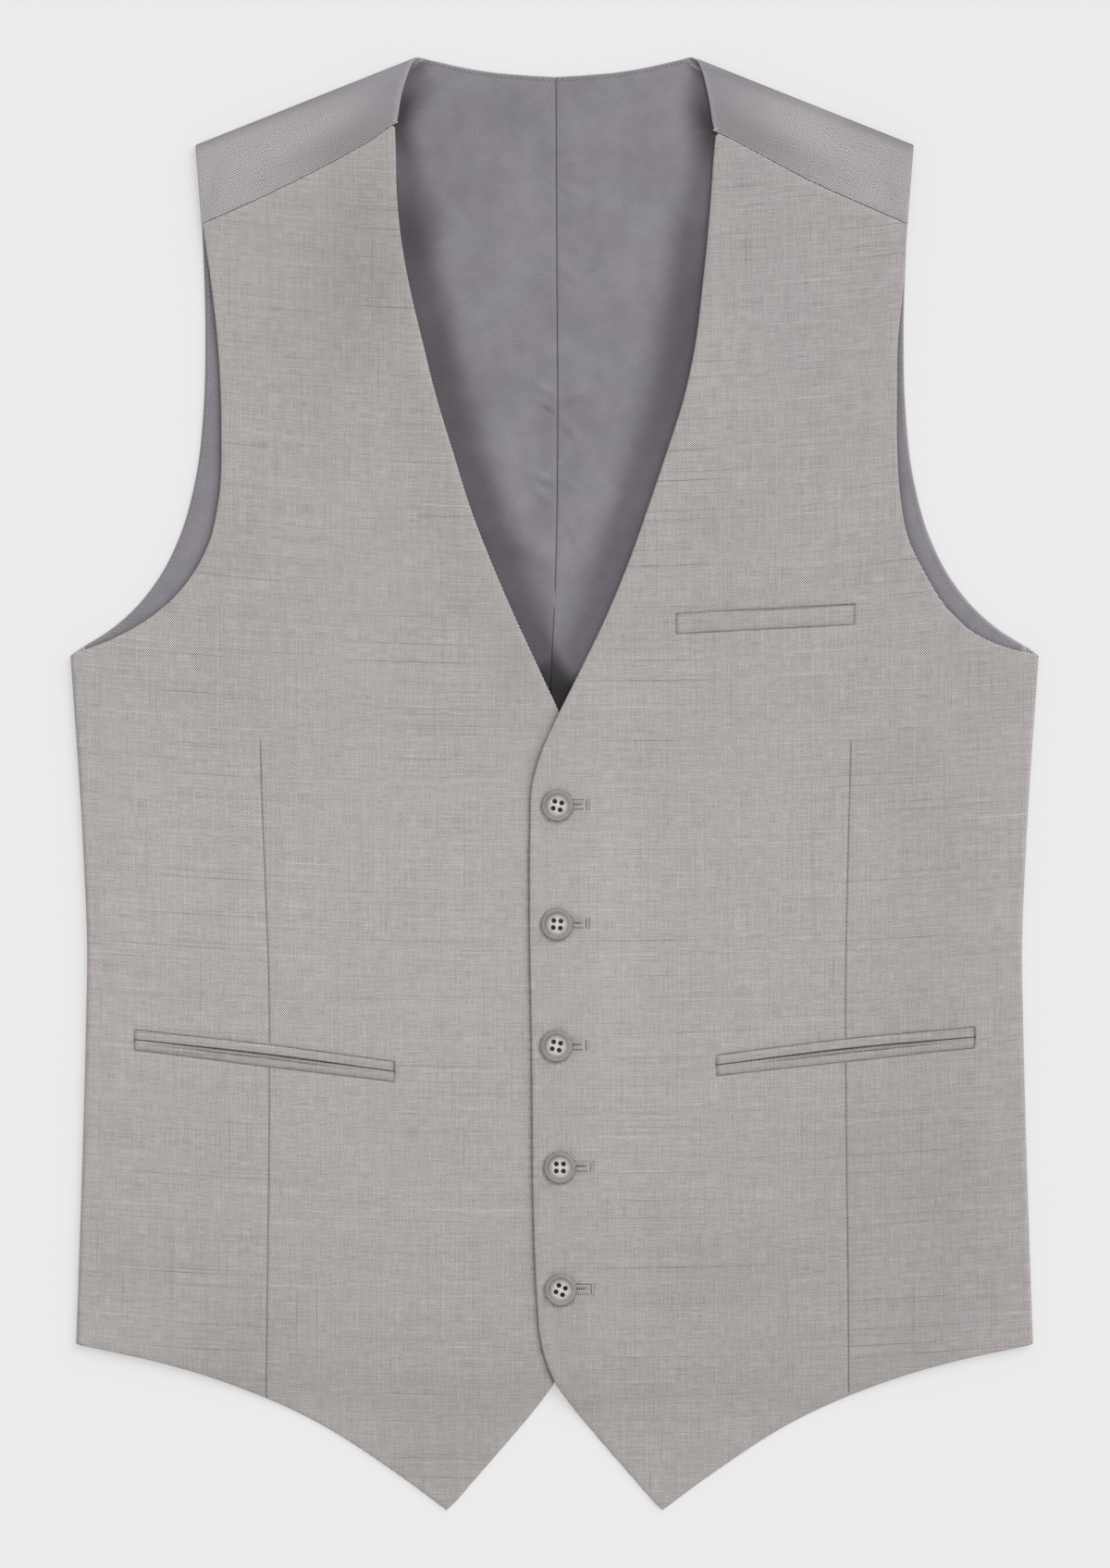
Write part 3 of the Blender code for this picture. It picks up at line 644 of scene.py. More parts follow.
# Buttons, sewn to the right front and through the left one.
BUTTONS = table(
    "across  height  turn  hole_end",
    (1.3, -10.5, 13, 15.8),
    (1.1, -65.6, 4, 15.6),
    (0.8, -122.1, 12, 15.6),
    (2.4, -178.5, 0, 17.6),
    (2.8, -235.4, 24, 17.9),
)
BUTTON_PROFILE = table(
    "radius  height",
    (0, 1.75),
    (2.6, 1.76),
    (4.3, 1.82),
    (5.1, 1.98),
    (5.6, 2.24),
    (5.95, 2.46),
    (6.35, 2.58),
    (6.8, 2.54),
    (7.2, 2.34),
    (7.5, 1.98),
    (7.6, 1.55),
    (7.5, 1.05),
    (7.2, 0.55),
    (6.7, 0.2),
    (6.2, 0),
    (0, 0),
)
BUTTON_SIDES = 96
BUTTON_HOLE_PROFILE = table(
    "radius  height",
    (0, -1),
    (1.1, -1),
    (1.1, 1.42),
    (1.16, 1.6),
    (1.3, 1.74),
    (1.5, 1.83),
    (1.5, 3.6),
    (0, 3.6),
)
BUTTON_HOLE_SIDES = 28
BUTTON_HOLE_SPACING = 3.3
BUTTON_SHARP_FROM = 50
BUTTON_GRAIN_SHIFT = 20.0
# Dish wall of a button, between these radii, and its rim: the painted shade on them, and how it turns with
# the light.
BUTTON_WALL = (3.4, 4.8, 5.9, 6.6)
BUTTON_WALL_TONE = (0.05, 0.24)
BUTTON_RIM = (6.5, 7.1)
BUTTON_RIM_TONE = (0.17, 0.07)
# Direction in which the light falls across the buttons.
LEE = np.array((0.98, 0.17))

# Buttonholes: their height above the button's middle, and their bar's width.
HOLE_ABOVE = 0.5
HOLE_BAR = 2.8
# A buttonhole's slit is sunk, with painted shade in it.
HOLE_DEPTH = 0.25
HOLE_DARK = 0.6
HOLE_HALF_WIDTH = 0.3

# Stitches: a short thread that arches from one end to the other, as shares of its length and radius.
STITCH_SIDES = 6
STITCH_ROWS = table(
    "along  thickness  arch",
    (-0.5, 0.15, 0),
    (-0.44, 0.7, 0.25),
    (-0.25, 1, 0.8),
    (0, 1.05, 1),
    (0.25, 1, 0.8),
    (0.44, 0.7, 0.25),
    (0.5, 0.15, 0),
)
STITCH_SUNK = 0.4
# Length and radius of each kind of stitch.
HOLE_BAND_STITCH = (1.6, 0.2)
HOLE_MARK_STITCH = (0.85, 0.19)
EDGE_STITCH = (1.9, 0.26)
CENTRE_STITCH = (1.0, 0.22)
SEAM_STITCH = (1.0, 0.26)
HOLE_MARK_TURN = -math.pi / 3.2
# Rows beside a buttonhole's slit and its bar: how far off they lie and how close their stitches are.
HOLE_BAND_ROWS = (-1.35, 1.35)
HOLE_BAND_PITCH = 0.55
HOLE_MARK_ROWS = (-2.25, 2.25)
HOLE_MARK_PITCH = 1.1
HOLE_SLIT_PITCH = 1.0
HOLE_ROWS_FROM = 3.0
HOLE_ROWS_BEFORE_END = 1.9
HOLE_BAR_AT = 0.2
HOLE_BAR_PITCH = 0.5
HOLE_BAR_MARK_ROWS = (-0.75, 0.75)
HOLE_BAR_MARK_PITCH = 1.05
EDGE_STITCH_PITCH = 2.45
NECK_STITCHES_FROM = 1.5
ARMHOLE_STITCHES = (66.0, 250.0)
EDGE_STITCH_INSIDE = 1.75
EDGE_STITCH_SLANT = 0.3
SEAM_STITCH_PITCH = 1.25
SEAM_STITCH_SLANT = 0.35
# Places of the loose threads at the seam's neck end, from its first stitch.
SEAM_TUFT = ((0.2, 0.7), (0.7, 1.1), (1.3, 0.9), (1.0, 0.4), (-0.3, 0.3))
STRIP_TOP = BACK_LEVEL + 2 * SHOULDER_FOLD_RADIUS + SATIN_THICKNESS / 2
CENTRE_STITCHES_FROM = 73.0
CENTRE_STITCH_INSIDE = 0.4
CENTRE_STITCH_PITCH = 1.35
CENTRE_STITCH_LEVEL = 0.26

# Fineness of the meshes.
OUTLINE_STEP = 2.0
HEM_POINTS = 40
EDGE_STEPS = (30.0, 60.0, 90.0)
FACE_NET = 2.6
UNDER_NET = 14.0
FRONT_UNDER_NET = 9.0
STRIP_INSIDE_NET = 8.0
FINE_NET = 1.6
# Finer part of the lining by its centre seam, and the height from which any of it shows.
FINE_REACH = 26.0
FINE_FROM = 40.0
LINING_SEEN_FROM = 30.0
STRIP_NET_FROM = -6.0
ROW_RATIO = math.sqrt(0.75)
NET_CLEARANCE = 0.55
SLOPE_STEP = 0.05
FOLD_STEPS = 8
FOLD_STEP = 3.0
SHOULDER_FOLD_STEP = 2.0
# How far the lines of a fold run past its ends.
SHOULDER_FOLD_BEYOND = 12
SIDE_FOLD_BEYOND = 20.0
# Lines on both sides of a seam on a front's face.
CREASE_OFFSETS = (-0.6, -0.3, 0.0, 0.3, 0.6)
RING_STEP = 1.0
MITRE_LIMIT = 0.4
SAME_PLACE = 1e-4
# Least distance of a crease from the rounded edge of its cloth.
CREASE_MARGIN = 0.25


# Lines and readings of tables.


def smooth(start, end, value):
    """Soft step from 0 at start to 1 at end."""
    share = np.clip((value - start) / (end - start), 0.0, 1.0)
    return share * share * (3.0 - 2.0 * share)


def plateau(start, risen, falling, end, value):
    """Soft step from 0 to 1, and further on back to 0."""
    return smooth(start, risen, value) * (1 - smooth(falling, end, value))


def reading(places, values, place):
    """Smooth curve through a column's values, straight on past both ends."""
    if places[0] > places[-1]:
        places = places[::-1]
        values = values[::-1]
    slopes = np.gradient(values, places)
    place = np.asarray(place, dtype=float)
    inside = np.clip(place, places[0], places[-1])
    row = np.clip(np.searchsorted(places, inside) - 1, 0, len(places) - 2)
    span = places[row + 1] - places[row]
    share = (inside - places[row]) / span
    start = (1 + 2 * share) * (1 - share) ** 2 * values[row]
    end = share ** 2 * (3 - 2 * share) * values[row + 1]
    leave = share * (1 - share) ** 2 * span * slopes[row]
    arrive = share ** 2 * (share - 1) * span * slopes[row + 1]
    beyond = (place - inside) * np.where(place < inside, slopes[0], slopes[-1])
    return start + end + leave + arrive + beyond


def half_width(height):
    return reading(SIDE_LINE["height"], SIDE_LINE["half_width"], height)


def front_edge(side, height):
    return reading(FRONT_EDGE["height"], FRONT_EDGE[COLUMN[side]], height)


def dart_line(side, height):
    return reading(DART["height"], DART[COLUMN[side]], height)


def hip_slit(side, own):
    return reading(HIP_SLIT["own"], HIP_SLIT[COLUMN[side]], own)


def back_hem(own):
    return BACK_HEM_CENTRE + BACK_HEM_RISE * (own / BACK_HEM_HALF_WIDTH) ** 2


def lengths_along(points):
    """Distance of each point from the first one, along the line."""
    steps = np.linalg.norm(np.diff(points, axis=0), axis=1)
    return np.concatenate(([0.0], np.cumsum(steps)))


def even(points, step):
    """Line with its points spread evenly, no further apart than the step."""
    points = np.asarray(points, dtype=float)
    along = lengths_along(points)
    count = max(1, math.ceil(along[-1] / step))
    places = np.linspace(0.0, along[-1], count + 1)
    return np.column_stack([np.interp(places, along, points[:, axis]) for axis in (0, 1)])


def curve(points, step=OUTLINE_STEP):
    """Smooth line through points, evenly divided."""
    points = np.asarray(points, dtype=float)
    along = lengths_along(points)
    places = np.linspace(0.0, along[-1], max(2, round(along[-1] / step)) + 1)
    return np.column_stack([reading(along, points[:, axis], places) for axis in (0, 1)])


def drawn(edge):
    """Smooth line through the rows of an outline table."""
    return curve(np.column_stack((edge["own"], edge["height"])))


def upright(across_at, low, high, step):
    """Line that runs from the low height to the high one."""
    count = max(2, math.ceil(abs(high - low) / step))
    heights = np.linspace(low, high, count + 1)
    return np.column_stack((across_at(heights), heights))


def directions(points):
    """Unit direction of a line at each of its points."""
    runs = np.gradient(points, axis=0)
    return runs / np.linalg.norm(runs, axis=1)[:, None]


def moved_right(points, distance):
    """Line moved to the right of its own direction."""
    runs = directions(points)
    return points + distance * np.column_stack((runs[:, 1], -runs[:, 0]))


def joined(*lines):
    """One closed outline from lines laid end to end, without doubled corners."""
    outline = []
    for line in lines:
        for point in even(line, OUTLINE_STEP):
            if not outline or np.linalg.norm(point - outline[-1]) > SEAM_GAP:
                outline.append(point)
    if np.linalg.norm(outline[0] - outline[-1]) <= SEAM_GAP:
        outline.pop()
    return np.array(outline)


def inset(outline, distance):
    """Closed outline, drawn counterclockwise, moved inwards with mitred corners."""
    runs = np.roll(outline, -1, axis=0) - outline
    runs /= np.linalg.norm(runs, axis=1)[:, None]
    after = np.column_stack((-runs[:, 1], runs[:, 0]))
    before = np.roll(after, 1, axis=0)
    spread = 1.0 + (before * after).sum(axis=1)
    return outline + distance * (before + after) / np.maximum(spread, MITRE_LIMIT)[:, None]


def flat_area(outline):
    """Area inside a closed outline."""
    after = np.roll(outline, -1, axis=0)
    return 0.5 * (outline[:, 0] * after[:, 1] - after[:, 0] * outline[:, 1]).sum()


def spans(outline, height):
    """Stretches of one level line that lie inside an outline."""
    ends = np.roll(outline, -1, axis=0)
    crossing = (outline[:, 1] > height) != (ends[:, 1] > height)
    start = outline[crossing]
    run = ends[crossing] - start
    cuts = np.sort(start[:, 0] + (height - start[:, 1]) / run[:, 1] * run[:, 0])
    return list(zip(cuts[0::2], cuts[1::2]))


def nearness(points):
    """Search tree over points of the flat cut."""
    tree = KDTree(len(points))
    for number, (across, up) in enumerate(points):
        tree.insert((across, up, 0.0), number)
    tree.balance()
    return tree


def runs_inside(outline, line, margin):
    """Stretches of a line that stay a margin inside an outline."""
    tree = nearness(even(np.vstack((outline, outline[:1])), OUTLINE_STEP / 4))
    stretches = [[]]
    for across, up in line:
        within = any(low < across < high for low, high in spans(outline, up))
        if within and tree.find((across, up, 0.0))[2] > margin:
            stretches[-1].append((across, up))
        elif stretches[-1]:
            stretches.append([])
    return [np.array(stretch) for stretch in stretches if len(stretch) > 1]


def net(outline, spacing, tree, where=None):
    """Even net of points inside an outline, clear of the drawn lines."""
    low = outline.min(axis=0)
    high = outline.max(axis=0)
    points = []
    for row in range(1, int((high[1] - low[1]) / (spacing * ROW_RATIO)) + 1):
        height = low[1] + row * spacing * ROW_RATIO
        offset = low[0] + spacing / 2 * (row % 2)
        for start, end in spans(outline, height):
            columns = np.arange(math.ceil((start - offset) / spacing), (end - offset) / spacing)
            for across in offset + columns * spacing:
                if where is not None and not where(across, height):
                    continue
                if tree.find((across, height, 0.0))[2] > NET_CLEARANCE * spacing:
                    points.append((across, height))
    return points


# Surfaces on which the pieces lie.


def swell(rows, across, height):
    """Sum of the soft mounds of a table, each with its middle, half sizes, turn and amount."""
    total = np.zeros(np.shape(across))
    for middle, level, length, width, turn, amount in zip(*rows.values()):
        lean = math.radians(turn)
        along = math.cos(lean) * (across - middle) + math.sin(lean) * (height - level)
        beside = math.cos(lean) * (height - level) - math.sin(lean) * (across - middle)
        total += amount * np.exp(-((along / length) ** 2) - (beside / width) ** 2)
    return total


def past_shoulder(cut):
    """Distance of flat points past the shoulder's fold, negative on the garment."""
    return (cut - NECK_POINT) @ SHOULDER_OUT


def unfolded(points):
    """Places in the flat cut of the back of points that end up on the turned-over strip."""
    turned = math.pi * SHOULDER_FOLD_RADIUS - 2 * SHOULDER_FOLD_REACH
    return points + (turned - 2 * past_shoulder(points))[:, None] * SHOULDER_OUT


def lay_back(cut):
    """Back on the floor, turned over the shoulder on to the front."""
    over = np.maximum(past_shoulder(cut) + SHOULDER_FOLD_REACH, 0.0)
    turn = np.minimum(over / SHOULDER_FOLD_RADIUS, math.pi)
    flat = over - turn * SHOULDER_FOLD_RADIUS
    shift = SHOULDER_FOLD_RADIUS * np.sin(turn) - flat - over
    level = BACK_LEVEL + SHOULDER_FOLD_RADIUS * (1 - np.cos(turn))
    return np.column_stack((cut + shift[:, None] * SHOULDER_OUT, level))


def lay_lining(side):
    """Lining flat on the back, with soft swells and the puckers of its centre seam."""

    def lay(cut):
        across = side * cut[:, 0]
        height = cut[:, 1]
        rise = swell(LINING_SWELLS, across, height) + swell(LINING_PUCKERS, across, height)
        return np.column_stack((cut, LINING_LEVEL + rise * smooth(8.0, 40.0, height)))

    return lay


def front_rise(side, own, height):
    """How far a front stands above its resting level."""
    from_edge = np.maximum(own - front_edge(side, height), 0.0)
    fade_in = smooth(*NECK_LIFT_FADE[:2], height)
    fade_out = 1 - smooth(*NECK_LIFT_FADE[2:], height)
    rise = NECK_LIFT * fade_in * fade_out * np.exp(-(from_edge / NECK_LIFT_WIDTH) ** 2)
    if side == LEFT:
        near = 1 - smooth(OVERLAP_FLAT, OVERLAP_END, own)
        below_neck = 1 - smooth(*OVERLAP_TOP, height)
        above_points = smooth(*OVERLAP_BOTTOM, height)
        rise = rise + OVERLAP_RISE * near * below_neck * above_points
    past_hem = back_hem(own) - height
    rise = rise - (FRONT_LEVEL - FRONT_THICKNESS / 2) * smooth(0.0, DRAPE_LENGTH, past_hem)
    return rise + swell(FRONT_SWELLS, side * own, height)


def lay_front(side):
    """Front over the lining, turned round the garment's side to the seam underneath."""

    def lay(cut):
        own, height = cut.T
        fold_start = half_width(height) - SIDE_FOLD_REACH
        over = own - fold_start
        turn = np.clip(over / SIDE_FOLD_RADIUS, 0.0, math.pi)
        flat = np.maximum(over, 0.0) - turn * SIDE_FOLD_RADIUS
        across = np.minimum(own, fold_start) + SIDE_FOLD_RADIUS * np.sin(turn) - flat
        level = FRONT_LEVEL - SIDE_FOLD_RADIUS * (1 - np.cos(turn))
        settled = smooth(0.0, SIDE_SETTLE, -over)
        return np.column_stack((across, height, level + settled * front_rise(side, own, height)))

    return lay


def facing(lay, cut):
    """Direction that the cloth faces where it lies."""
    along = lay(cut + (SLOPE_STEP, 0.0)) - lay(cut - (SLOPE_STEP, 0.0))
    up = lay(cut + (0.0, SLOPE_STEP)) - lay(cut - (0.0, SLOPE_STEP))
    normal = np.cross(along, up)
    return normal / np.linalg.norm(normal, axis=1)[:, None]


# Seams on the faces of the pieces.


def ridge(distance, half_width_of_line):
    return np.exp(-(distance / half_width_of_line) ** 2)


def end_seams(own, first, last):
    """Nearness to the two upright seams at a pocket's ends."""
    return ridge(own - first, SEAM_HALF_WIDTH) + ridge(own - last, SEAM_HALF_WIDTH)


def jet_width(side, own, up):
    """Width of the upper or the lower jet of a hip pocket."""
    ends, middle = LOWER_JET_BROADER[side]
    share = np.clip((own - HIP_SLIT["own"][0]) / (HIP_SLIT["own"][-1] - HIP_SLIT["own"][0]), 0.0, 1.0)
    return JET_WIDTH + np.where(up, 0.0, ends + middle * np.sin(math.pi * share) ** 2)


def dart_mark(side, cut):
    """Nearness to the dart's seam, broken across the pocket."""
    own, height = cut.T
    below_point = 1 - smooth(DART_TOP - 6.0, DART_TOP + 1.0, height)
    from_slit = height - hip_slit(side, own)
    width = jet_width(side, own, from_slit > 0)
    beside_pocket = smooth(width, width + 0.8, np.abs(from_slit))
    return own - dart_line(side, height), below_point * beside_pocket


def pocket_marks(side, cut):
    """Nearness to the seams round the pockets."""
    own, height = cut.T
    first = HIP_SLIT["own"][0] - JET_REACH[side]
    last = HIP_SLIT["own"][-1]
    within = plateau(first - 0.5, first, last, last + 0.5, own)
    from_slit = height - hip_slit(side, own)
    width = jet_width(side, own, from_slit > 0)
    seams = within * ridge(np.abs(from_slit) - width, SEAM_HALF_WIDTH)
    beside = 1 - smooth(width - 0.2, width + 0.3, np.abs(from_slit))
    ends = beside * end_seams(own, first, last)
    slit = within * (1 - smooth(0.5, 1.5, np.abs(from_slit)))
    return np.clip(seams + ends, 0.0, 1.0), slit


def welt_marks(cut):
    """Nearness to the seams and to the open top of the chest welt."""
    own, height = cut.T
    share = (own - WELT_INNER[0]) / (WELT_OUTER[0] - WELT_INNER[0])
    above = height - (WELT_INNER[1] + share * (WELT_OUTER[1] - WELT_INNER[1]))
    within = plateau(-0.006, 0.0, 1.0, 1.006, share)
    beside = plateau(-0.4, 0.0, WELT_WIDTH, WELT_WIDTH + 0.4, above)
    sides = beside * end_seams(own, WELT_INNER[0], WELT_OUTER[0])
    bottom = within * ridge(above, SEAM_HALF_WIDTH)
    top = within * ridge(above - WELT_WIDTH - 0.1, 0.45) * (0.55 + 0.45 * smooth(0.2, 0.8, share))
    return np.clip(sides + bottom, 0.0, 1.0), top


def front_relief(side):
    """Depth of the seams in a front's face, and how dark each place is: the seams, partly with painted shade,
    and painted shade in the slits, the welt's open top and the buttonholes.
    """

    def relief(cut):
        from_dart, beside = dart_mark(side, cut)
        depth = DART_DEPTH * beside * ridge(from_dart, DART_HALF_WIDTH)
        depth += DART_HOLLOW * beside * ridge(from_dart, DART_HOLLOW_WIDTH)
        dark = DART_DARK * beside * ridge(from_dart, DART_DARK_WIDTH)
        seams, slit = pocket_marks(side, cut)
        depth += SEAM_DEPTH * seams + SLIT_DEPTH * slit
        facing_light = cut[:, 1] > hip_slit(side, cut[:, 0])
        dark += np.where(facing_light, SEAM_DARK_FACING_LIGHT, SEAM_DARK_IN_LEE) * seams + SLIT_DARK * slit
        if side == LEFT:
            sewn, top = welt_marks(cut)
            depth += SEAM_DEPTH * sewn + WELT_TOP_DEPTH * top
            dark += WELT_SEAM_DARK * sewn + WELT_TOP_DARK * top
            for across, height, hole_end in picked(BUTTONS, "across height hole_end"):
                from_slit = cut[:, 1] - height - HOLE_ABOVE
                slit_end = hole_end - HOLE_BAR
                along = plateau(across, across + 1.0, slit_end - 0.8, slit_end, cut[:, 0])
                depth += HOLE_DEPTH * along * ridge(from_slit, HOLE_HALF_WIDTH)
                dark += HOLE_DARK * along * ridge(from_slit, HOLE_HALF_WIDTH)
        return depth, np.clip(dark, 0.0, 1.0)

    return relief


def stitch_lines():
    """Lines along and beside the stitches inside the back's neck."""
    offsets = (-0.9, -0.45, 0.0, 0.45, 0.9)
    return [moved_right(drawn(BACK_NECK), EDGE_STITCH_INSIDE + offset) for offset in offsets]


def lining_relief(cut):
    """Groove in which the stitches inside the back's neck lie, and the painted shade in it."""
    groove = ridge(from_back_neck(cut) - EDGE_STITCH_INSIDE, GROOVE_HALF_WIDTH)
    return GROOVE_DEPTH * groove, GROOVE_DARK * groove


def plain(cut):
    """Face without seams."""
    return np.zeros(len(cut)), np.zeros(len(cut))


def no_shade(cut):
    return np.zeros(len(cut))


# Making of meshes.


def triangles(outline, rings, stretches, points):
    """Flat triangles over rings, drawn lines and loose points, with the ring of each corner."""
    corners = []
    edges = []
    rank = []
    for number, ring in enumerate([outline] + rings):
        first = len(corners)
        count = len(ring)
        corners += [Vector(point) for point in ring]
        edges += [(first + place, first + (place + 1) % count) for place in range(count)]
        rank += [number] * count
    for stretch in stretches:
        first = len(corners)
        corners += [Vector(point) for point in stretch]
        edges += [(first + place, first + place + 1) for place in range(len(stretch) - 1)]
        rank += [len(rings)] * len(stretch)
    corners += [Vector(point) for point in points]
    rank += [len(rings)] * len(points)
    made = delaunay_2d_cdt(corners, edges, [], 1, SAME_PLACE)
    ranks = np.array([min((rank[origin] for origin in origins), default=len(rings)) for origins in made[3]])
    places = {origin: number for number, origins in enumerate(made[3]) for origin in origins}
    return np.array([tuple(corner) for corner in made[0]]), made[2], ranks, places


def edge_rings(outline, radius):
    return [inset(outline, radius * (1 - math.cos(math.radians(turn)))) for turn in EDGE_STEPS]


def edge_levels():
    return np.array([0.0] + [math.sin(math.radians(turn)) for turn in EDGE_STEPS])


def add_mesh(name, vertices, faces, finish, attributes=()):
    """Mesh piece in metres, smooth, with values that its finish reads at each point."""
    mesh = bpy.data.meshes.new(name)
    mesh.from_pydata((np.asarray(vertices) * MILLIMETRE).tolist(), [], faces)
    for title, values in attributes:
        vector = np.ndim(values) == 2
        layer = mesh.attributes.new(title, "FLOAT_VECTOR" if vector else "FLOAT", "POINT")
        layer.data.foreach_set("vector" if vector else "value", np.asarray(values, dtype=float).ravel())
    mesh.shade_smooth()
    mesh.materials.append(finish)
    piece = bpy.data.objects.new(name, mesh)
    bpy.context.scene.collection.objects.link(piece)
    return piece


def cut_net(outline, rings, runs, nets):
    """Flat net for one side of a cloth, through its rings, the lines drawn on it and nets of points."""
    closed = [even(np.vstack((ring, ring[:1])), RING_STEP) for ring in [outline] + rings]
    tree = nearness(np.vstack(closed + runs))
    points = []
    for spacing, where in nets:
        points += net(outline, spacing, tree, where)
    return triangles(outline, rings, runs, points)


def only_used(faces):
    """Corners that the faces use, and the faces with their corners numbered among these."""
    used = sorted({corner for face in faces for corner in face})
    renumber = {corner: place for place, corner in enumerate(used)}
    return used, [tuple(renumber[corner] for corner in face) for face in faces]


def add_cloth(name, side, outline, lay, thickness, finish, nets, under_nets, folds=(), creases=(),
              relief=plain, shade=no_shade, mirrored_grain=False):
    """Shell of cloth over a laid surface: a fine face, a plainer underside and a rounded edge."""
    radius = thickness / 2
    rings = edge_rings(outline, radius)
    margin = radius + CREASE_MARGIN
    fold_runs = [run for line in folds for run in runs_inside(outline, line, margin)]
    crease_runs = [run for line in creases for run in runs_inside(outline, line, margin)]
    face_cut, face_tris, face_rank, face_at = cut_net(outline, rings, fold_runs + crease_runs, nets)
    under_cut, under_tris, under_rank, under_at = cut_net(outline, rings, fold_runs, under_nets)

    levels = edge_levels() * radius
    depth, dark = relief(face_cut)
    inner = face_rank == len(rings)
    face = lay(face_cut) + facing(lay, face_cut) * (levels[face_rank] - depth * inner)[:, None]
    under = lay(under_cut) - facing(lay, under_cut) * levels[under_rank][:, None]

    shared = {under_at[place]: face_at[place] for place in range(len(outline))}
    number = [shared.get(place, len(face) + place) for place in range(len(under))]
    faces = [tuple(tri) for tri in face_tris]
    faces += [tuple(number[corner] for corner in tri[::-1]) for tri in under_tris]
    if side == RIGHT:
        faces = [tri[::-1] for tri in faces]
    used, faces = only_used(faces)

    vertices = np.vstack((face, under)) * (side, 1, 1)
    cut = np.vstack((face_cut, under_cut))
    grain = np.column_stack((cut if mirrored_grain else cut * (side, 1), np.zeros(len(cut))))
    values = (
        ("cut", grain[used]),
        ("seam", np.concatenate((dark * inner, np.zeros(len(under))))[used]),
        ("shade", shade(cut)[used]),
        ("clear", 1 + swell(FRONT_CLEARNESS, side * cut[used, 0], cut[used, 1])),
    )
    return add_mesh(name, vertices[used], faces, finish, values)


def add_swept(name, side, path, profile, finish):
    """Folded strip on a front: a profile of offsets and levels, carried along a path."""
    lay = lay_front(side)
    along = lengths_along(path)
    from_end = np.minimum(along, along[-1] - along)
    round_end = np.sqrt(1 - (1 - np.minimum(from_end / TRIM_END_RADIUS, 1.0)) ** 2)
    rows = []
    grains = []
    seams = []
    for offset, level, dark in profile:
        cut = path + np.column_stack((np.zeros(len(path)), np.broadcast_to(offset, len(path))))
        above_front = FRONT_THICKNESS / 2 - TRIM_SUNK + round_end * (level + TRIM_SUNK)
        rows.append(lay(cut) + facing(lay, cut) * above_front[:, None])
        grains.append(np.column_stack((cut * (side, 1), np.zeros(len(cut)))))
        seams.append(np.minimum(dark + TRIM_END_DARK * (1 - round_end), 1.0))
    count = len(path)
    faces = []
    for row in range(len(profile)):
        here = row * count
        above = (row + 1) % len(profile) * count
        for place in range(count - 1):
            faces.append((here + place, here + place + 1, above + place + 1, above + place))
    faces.append(tuple(row * count for row in range(len(profile))))
    faces.append(tuple(row * count + count - 1 for row in reversed(range(len(profile)))))
    if side == RIGHT:
        faces = [face[::-1] for face in faces]
    vertices = np.vstack(rows) * (side, 1, 1)
    values = (
        ("cut", np.vstack(grains)),
        ("seam", np.concatenate(seams)),
        ("shade", np.zeros(len(vertices))),
        ("clear", np.ones(len(vertices))),
    )
    return add_mesh(name, vertices, faces, finish, values)


def add_stitches(name, places, turns, length, radius, finish):
    """Short arched stitches of thread, joined in one mesh. Each has its middle and its turn."""
    vertices = []
    faces = []
    ring = np.linspace(0.0, 2 * math.pi, STITCH_SIDES, endpoint=False)
    rows = list(picked(STITCH_ROWS, "along thickness arch"))
    for middle, turn in zip(places, turns):
        along = np.array((math.cos(turn), math.sin(turn), 0.0))
        beside = np.array((-math.sin(turn), math.cos(turn), 0.0))
        first = len(vertices)
        for share, thickness, arch in rows:
            centre = middle + along * length * share + np.array((0.0, 0.0, radius * (arch - STITCH_SUNK)))
            for angle in ring:
                out = beside * math.cos(angle) + np.array((0.0, 0.0, math.sin(angle)))
                vertices.append(centre + out * radius * thickness)
        for row in range(len(rows) - 1):
            here = first + row * STITCH_SIDES
            beyond = here + STITCH_SIDES
            for step in range(STITCH_SIDES):
                after = (step + 1) % STITCH_SIDES
                faces.append((here + step, here + after, beyond + after, beyond + step))
        last = first + (len(rows) - 1) * STITCH_SIDES
        faces.append(tuple(first + step for step in reversed(range(STITCH_SIDES))))
        faces.append(tuple(last + step for step in range(STITCH_SIDES)))
    faces = [face[::-1] for face in faces]
    return add_mesh(name, vertices, faces, finish)


# Finishes.


class Signal:
    """Socket of a finish, so that shader maths reads as a plain expression."""

    def __init__(self, finish, socket):
        self.finish = finish
        self.socket = socket

    def math(self, operation, *others):
        return self.finish.math(operation, self, *others)

    def __add__(self, other):
        return self.math("ADD", other)

    __radd__ = __add__

    def __sub__(self, other):
        return self.math("SUBTRACT", other)

    def __rsub__(self, other):
        return self.finish.math("SUBTRACT", other, self)

    def __mul__(self, other):
        return self.math("MULTIPLY", other)

    __rmul__ = __mul__

    def __truediv__(self, other):
        return self.math("DIVIDE", other)

    def sine(self):
        return self.math("SINE")

    def floor(self):
        return self.math("FLOOR")

    def fraction(self):
        return self.math("FRACT")

    def size(self):
        return self.math("ABSOLUTE")

    def within(self, low, high):
        """Value kept between two limits."""
        return self.math("MAXIMUM", low).math("MINIMUM", high)

    def above(self, start, end):
        """Soft step from 0 at start to 1 at end."""
        limits = {"Value": self, "From Min": start, "From Max": end}
        return self.finish.node("ShaderNodeMapRange", {"interpolation_type": "SMOOTHSTEP"}, limits)


# Sockets of a Mix node that carry its factor, its two colours and its result.
MIX_COLOUR_INPUTS = (0, 6, 7)
MIX_COLOUR_OUTPUT = 2


